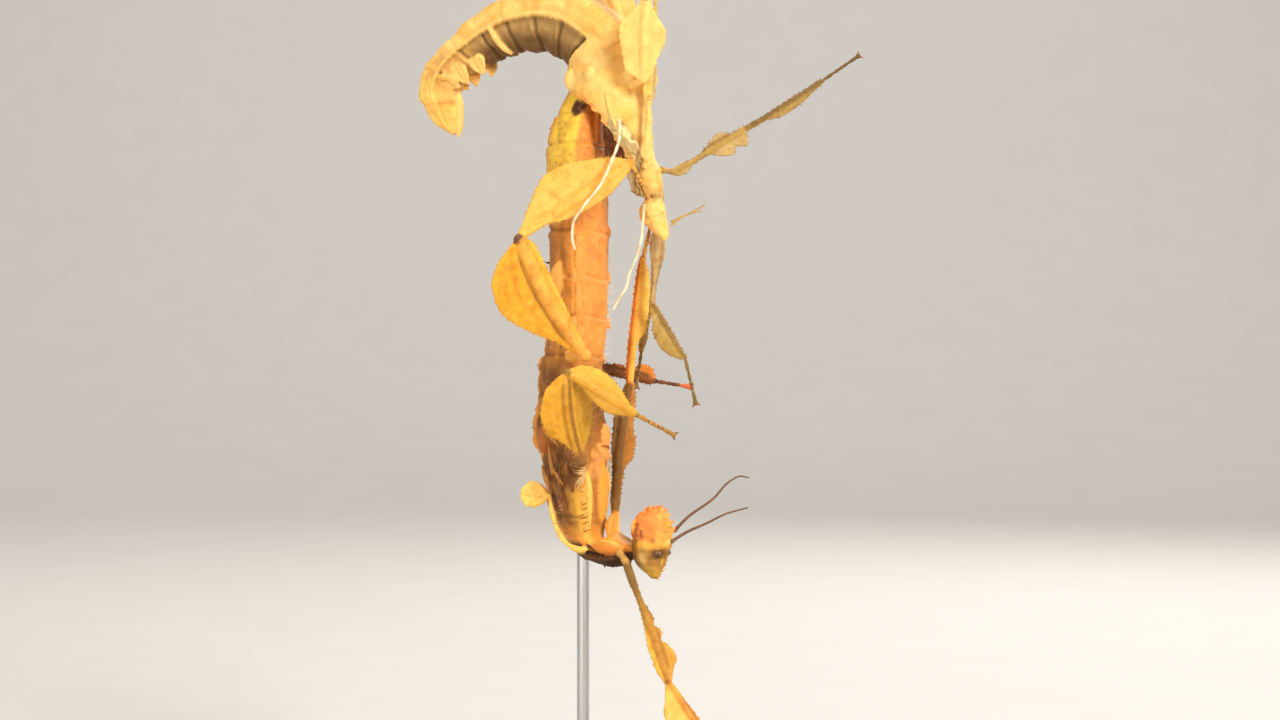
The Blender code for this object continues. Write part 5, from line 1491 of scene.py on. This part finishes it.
def eye(hand, finish):
    """A domed compound eye, slightly oval, brown with a faint paler stripe."""
    forward, side, height = EYE_PLACE
    ahead, outside, above = EYE_SHIFT
    centre = on_insect(forward + ahead, (side + outside) * hand, height + above)
    form = oval(centre, (BELLY_WAY, UP, LEFT_WAY), EYE_RADII, srgb(112, 72, 32))
    level = form.grid[..., 2] - height
    form.tint = painted(
        form.tint,
        (srgb(150, 104, 50), bump(level, 0.5, 0.16)),
        (srgb(74, 46, 20), 0.8 * bump(level, -0.1, 0.35)),
    )
    name = "left" if hand > 0 else "right"
    return plain_piece(f"eye_{name}_dome", [form], "eye", finish, f"eye_{name}")


# Materials.


def nodes_of(name):
    """A new material, its node tree, its shader, and the place on the object as coordinates."""
    made = bpy.data.materials.new(name)
    made.use_nodes = True
    tree = made.node_tree
    place = tree.nodes.new("ShaderNodeTexCoord").outputs["Object"]
    return made, tree, tree.nodes["Principled BSDF"], place


def own_tint(tree):
    """The tint that each point of the mesh carries."""
    node = tree.nodes.new("ShaderNodeAttribute")
    node.attribute_name = "tint"
    return node.outputs["Color"]


def stretched(tree, coordinates, scale):
    """The coordinates scaled apart on each axis, for grain and brush marks."""
    node = tree.nodes.new("ShaderNodeMapping")
    node.inputs["Scale"].default_value = scale
    tree.links.new(coordinates, node.inputs["Vector"])
    return node.outputs["Vector"]


def two_tone(tree, value, dark, bright):
    """A colour between two, set by a value."""
    node = tree.nodes.new("ShaderNodeValToRGB")
    node.color_ramp.elements[0].color = dark
    node.color_ramp.elements[1].color = bright
    tree.links.new(value, node.inputs["Fac"])
    return node.outputs["Color"]


def noise(tree, scale, detail, coordinates, roughness=0.55):
    """Cloudy noise from 0 to 1."""
    node = tree.nodes.new("ShaderNodeTexNoise")
    node.inputs["Scale"].default_value = scale
    node.inputs["Detail"].default_value = detail
    node.inputs["Roughness"].default_value = roughness
    tree.links.new(coordinates, node.inputs["Vector"])
    return node.outputs["Fac"]


def remapped(tree, value, low, high, to_low, to_high):
    """The value from one range spread over another."""
    node = tree.nodes.new("ShaderNodeMapRange")
    node.inputs["From Min"].default_value = low
    node.inputs["From Max"].default_value = high
    node.inputs["To Min"].default_value = to_low
    node.inputs["To Max"].default_value = to_high
    tree.links.new(value, node.inputs["Value"])
    return node.outputs["Result"]


def mixed(tree, mode, share, first, second):
    """Two colours mixed; the second and the share may be plain values."""
    node = tree.nodes.new("ShaderNodeMix")
    node.data_type = "RGBA"
    node.blend_type = mode
    factor, low, high = node.inputs[0], node.inputs[6], node.inputs[7]
    tree.links.new(first, low)
    for socket, value in ((factor, share), (high, second)):
        if isinstance(value, bpy.types.NodeSocket):
            tree.links.new(value, socket)
        else:
            socket.default_value = value
    return node.outputs[2]


def bumped(tree, shader, layers):
    """Bump layers, coarse to fine: (height, strength, distance)."""
    normal = None
    for height, strength, distance in layers:
        node = tree.nodes.new("ShaderNodeBump")
        node.inputs["Strength"].default_value = strength
        node.inputs["Distance"].default_value = distance
        tree.links.new(height, node.inputs["Height"])
        if normal is not None:
            tree.links.new(normal, node.inputs["Normal"])
        normal = node.outputs["Normal"]
    tree.links.new(normal, shader.inputs["Normal"])


def cells(tree, scale, coordinates):
    """How far each point is from the middle of its cell."""
    node = tree.nodes.new("ShaderNodeTexVoronoi")
    node.inputs["Scale"].default_value = scale
    tree.links.new(coordinates, node.inputs["Vector"])
    return node.outputs["Distance"]


def cuticle(name, gloss, waxy, grain, speck):
    """Insect cuticle: its own tint, cloudy mottling, dark specks, fine granules and creases."""
    made, tree, shader, place = nodes_of(name)
    tint = own_tint(tree)
    clouds = noise(tree, 420, 5, place)
    fine = noise(tree, 2600, 4, place)
    veins = noise(tree, 900, 8, place, 0.7)
    granules = cells(tree, grain, place)
    shade = remapped(tree, clouds, 0.3, 0.7, 0.0, 0.55)
    colour = mixed(tree, "MULTIPLY", shade, tint, (0.72, 0.6, 0.42, 1))
    light_veins = remapped(tree, veins, 0.52, 0.72, 0.0, 0.4)
    colour = mixed(tree, "SCREEN", light_veins, colour, (0.34, 0.24, 0.1, 1))
    specks = remapped(tree, fine, 0.62, 0.7, 0.0, speck)
    colour = mixed(tree, "MULTIPLY", specks, colour, (0.3, 0.17, 0.08, 1))
    tree.links.new(colour, shader.inputs["Base Color"])
    rough = remapped(tree, veins, 0.3, 0.7, gloss, gloss + 0.22)
    tree.links.new(rough, shader.inputs["Roughness"])
    shader.inputs["Subsurface Weight"].default_value = waxy
    shader.inputs["Subsurface Radius"].default_value = (1.0, 0.45, 0.12)
    shader.inputs["Subsurface Scale"].default_value = 0.0012
    shader.inputs["Specular IOR Level"].default_value = 0.24
    shader.inputs["Coat Weight"].default_value = 0.05
    shader.inputs["Coat Roughness"].default_value = 0.35
    bumped(tree, shader, (
        (clouds, 0.5, 0.0005),
        (veins, 0.6, 0.00022),
        (granules, 0.45, 0.00012),
        (fine, 0.35, 0.00006),
    ))
    return made


def eye_finish():
    """Smooth brown facets under a thin clear coat, over the eye's own stripes."""
    made, tree, shader, place = nodes_of("eye_facets")
    tint = own_tint(tree)
    facets = cells(tree, 9000, place)
    shade = remapped(tree, noise(tree, 1500, 3, place), 0.3, 0.7, 0.0, 0.6)
    colour = mixed(tree, "MULTIPLY", shade, tint, (0.5, 0.4, 0.32, 1))
    tree.links.new(colour, shader.inputs["Base Color"])
    shader.inputs["Roughness"].default_value = 0.3
    shader.inputs["Coat Weight"].default_value = 0.35
    shader.inputs["Coat Roughness"].default_value = 0.16
    bumped(tree, shader, ((facets, 0.35, 0.00004),))
    return made


def painted_board():
    """Black satin paint over close-grained wood, with a little dust."""
    made, tree, shader, place = nodes_of("board_paint")
    grain = noise(tree, 5, 9, stretched(tree, place, (14.0, 160.0, 160.0)), 0.6)
    dust = noise(tree, 700, 6, place)
    paint = two_tone(tree, grain, (0.012, 0.011, 0.01, 1), (0.038, 0.034, 0.03, 1))
    dusted = remapped(tree, dust, 0.6, 0.75, 0.0, 0.12)
    colour = mixed(tree, "MIX", dusted, paint, (0.16, 0.14, 0.12, 1))
    tree.links.new(colour, shader.inputs["Base Color"])
    tree.links.new(remapped(tree, grain, 0.3, 0.7, 0.28, 0.46), shader.inputs["Roughness"])
    bumped(tree, shader, ((grain, 0.25, 0.0002), (dust, 0.15, 0.00005)))
    return made


def brushed_steel():
    """Steel rod, brushed round its girth, with faint smudges."""
    made, tree, shader, place = nodes_of("rod_steel")
    brush = noise(tree, 1, 4, stretched(tree, place, (300.0, 300.0, 9000.0)))
    smudge = noise(tree, 160, 4, place)
    metal = two_tone(tree, brush, (0.42, 0.42, 0.41, 1), (0.66, 0.66, 0.64, 1))
    tree.links.new(metal, shader.inputs["Base Color"])
    shader.inputs["Metallic"].default_value = 1.0
    tree.links.new(remapped(tree, smudge, 0.3, 0.7, 0.26, 0.44), shader.inputs["Roughness"])
    bumped(tree, shader, ((brush, 0.12, 0.00003),))
    return made


def backdrop_finish():
    """Matt pale paper, faintly uneven."""
    made, tree, shader, place = nodes_of("backdrop_paper")
    paper = noise(tree, 30, 5, place)
    tone = two_tone(tree, paper, (0.66, 0.64, 0.61, 1), (0.71, 0.69, 0.66, 1))
    tree.links.new(tone, shader.inputs["Base Color"])
    shader.inputs["Roughness"].default_value = 0.85
    return made


# Putting the model together.


def insect(finish, eyes_finish):
    """The fresh insect: its skin, then the small pieces on it."""
    trunk_form, head_form = insect_trunk(), insect_head()
    limbs, leaves = leg_forms(LEGS, INSECT_X, TARSUS_RADIUS, 0.3, 0.25, 100)
    forms = [trunk_form, head_form, tegmen(1), tegmen(-1)] + limbs
    for hand in (1, -1):
        forms += mouthparts(hand) + [brow(hand)]
    forms += crown_cones() + antenna_bases() + thorax_ridges() + abdomen_lobes()
    skin = fused("insect_skin", forms, finish, 2)
    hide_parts(*INSECT_NODES)
    plain_piece("insect_claws", claws(LEGS, 0.24, BROWN), "fresh_cuticle", finish)
    spines = body_spines(trunk_form, head_form, leaves)
    spines.piece("insect_spines", "fresh_cuticle", finish)
    bristles(trunk_form, leaves).piece("insect_bristles", "fresh_cuticle", finish)
    eye(1, eyes_finish)
    eye(-1, eyes_finish)
    for name, (points, thick, thin) in ANTENNAE.items():
        form = feeler(points, thick, thin, 0.85, srgb(134, 96, 70), srgb(92, 66, 54))
        plain_piece(f"{name}_joints", [form], "feeler", finish, name)


def shed(finish, thread_finish):
    """The shed skin, its linings and the small pieces on it."""
    trunk_form = shed_trunk()
    limbs, leaves = leg_forms(SKIN_LEGS, SKIN_X, SKIN_TARSUS_RADIUS, 0.4, 0.35, 200)
    forms = [trunk_form, trough(), shed_neck(), shed_skull()] + shed_ribs(trunk_form) + limbs
    skin = fused("shed_skin", forms, finish, 1)
    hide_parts(*SHED_NODES)
    plain_piece("shed_membranes", membranes(), "husk", finish)
    plain_piece("shed_claws", claws(SKIN_LEGS, 0.2, srgb(190, 96, 36)), "husk", finish)
    shed_spines(trunk_form, leaves).piece("shed_spines", "husk", finish)
    for name, (points, thick, thin) in SHED_ANTENNAE.items():
        form = feeler(points, thick, thin, 0.7, HUSK_OLIVE, HUSK_BROWN)
        plain_piece(f"{name}_joints", [form], "husk", finish, name)
    for number, (name, (points, thick, thin)) in enumerate(THREADS.items()):
        strand = thread(points, thick, thin, 90 + number)
        plain_piece(f"{name}_strand", [strand], "thread", thread_finish, name)


def finish_stand():
    """The stand keeps its CAD solids and gets its materials."""
    board, steel = painted_board(), brushed_steel()
    for name, finish in (("stand_base", board), ("stand_rod", steel), ("stand_arm", steel)):
        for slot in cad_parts[name].material_slots:
            slot.material = finish


def backdrop():
    """A pale floor that sweeps up into a wall."""
    rows = [(-2.0, 0.0), (1.2, 0.0)]
    rows += [(1.2 + 0.8 * math.sin(a), 0.8 - 0.8 * math.cos(a)) for a in np.linspace(0.1, math.pi / 2, 14)]
    rows.append((2.0, 3.5))
    points = [(x, y, z) for y, z in rows for x in (-3.5, 3.5)]
    faces = [(2 * i, 2 * i + 1, 2 * i + 3, 2 * i + 2) for i in range(len(rows) - 1)]
    mesh = bpy.data.meshes.new("backdrop")
    mesh.from_pydata(points, [], faces)
    mesh.shade_smooth()
    mesh.materials.append(backdrop_finish())
    made = bpy.data.objects.new("backdrop", mesh)
    bpy.context.scene.collection.objects.link(made)


def light(name, place, target, size, power, colour):
    """A round area light turned to its target."""
    lamp = bpy.data.lights.new(name, "AREA")
    lamp.shape = "DISK"
    lamp.size = size
    lamp.energy = power
    lamp.color = colour
    made = bpy.data.objects.new(name, lamp)
    made.location = place
    made.rotation_euler = (Vector(target) - Vector(place)).to_track_quat("-Z", "Y").to_euler()
    bpy.context.scene.collection.objects.link(made)


def studio():
    """The backdrop, soft lights and a faint pale surround."""
    backdrop()
    for name, settings in LIGHTS.items():
        light(name, *settings)
    world = bpy.data.worlds.new("studio")
    world.use_nodes = True
    surround = world.node_tree.nodes["Background"].inputs
    surround["Color"].default_value = WORLD_TINT
    surround["Strength"].default_value = WORLD_STRENGTH
    bpy.context.scene.world = world
    bpy.context.scene.view_settings.view_transform = "Standard"


def camera():
    """Level and straight ahead, as the photograph was taken."""
    lens = bpy.data.cameras.new("camera")
    lens.sensor_width = 36.0
    lens.lens = CAMERA_LENS
    lens.clip_start = 0.01
    made = bpy.data.objects.new("camera", lens)
    made.location = CAMERA_PLACE
    made.rotation_euler = (math.radians(90), 0, 0)
    bpy.context.scene.collection.objects.link(made)
    bpy.context.scene.camera = made


def main():
    """Makes the scene."""
    camera()
    studio()
    fresh = cuticle("fresh_cuticle_live", 0.42, 0.16, 7000, 0.45)
    husk = cuticle("husk_dry", 0.5, 0.35, 5200, 0.3)
    strand = cuticle("thread_soft", 0.55, 0.5, 8000, 0.1)
    insect(fresh, eye_finish())
    shed(husk, strand)
    finish_stand()


main()
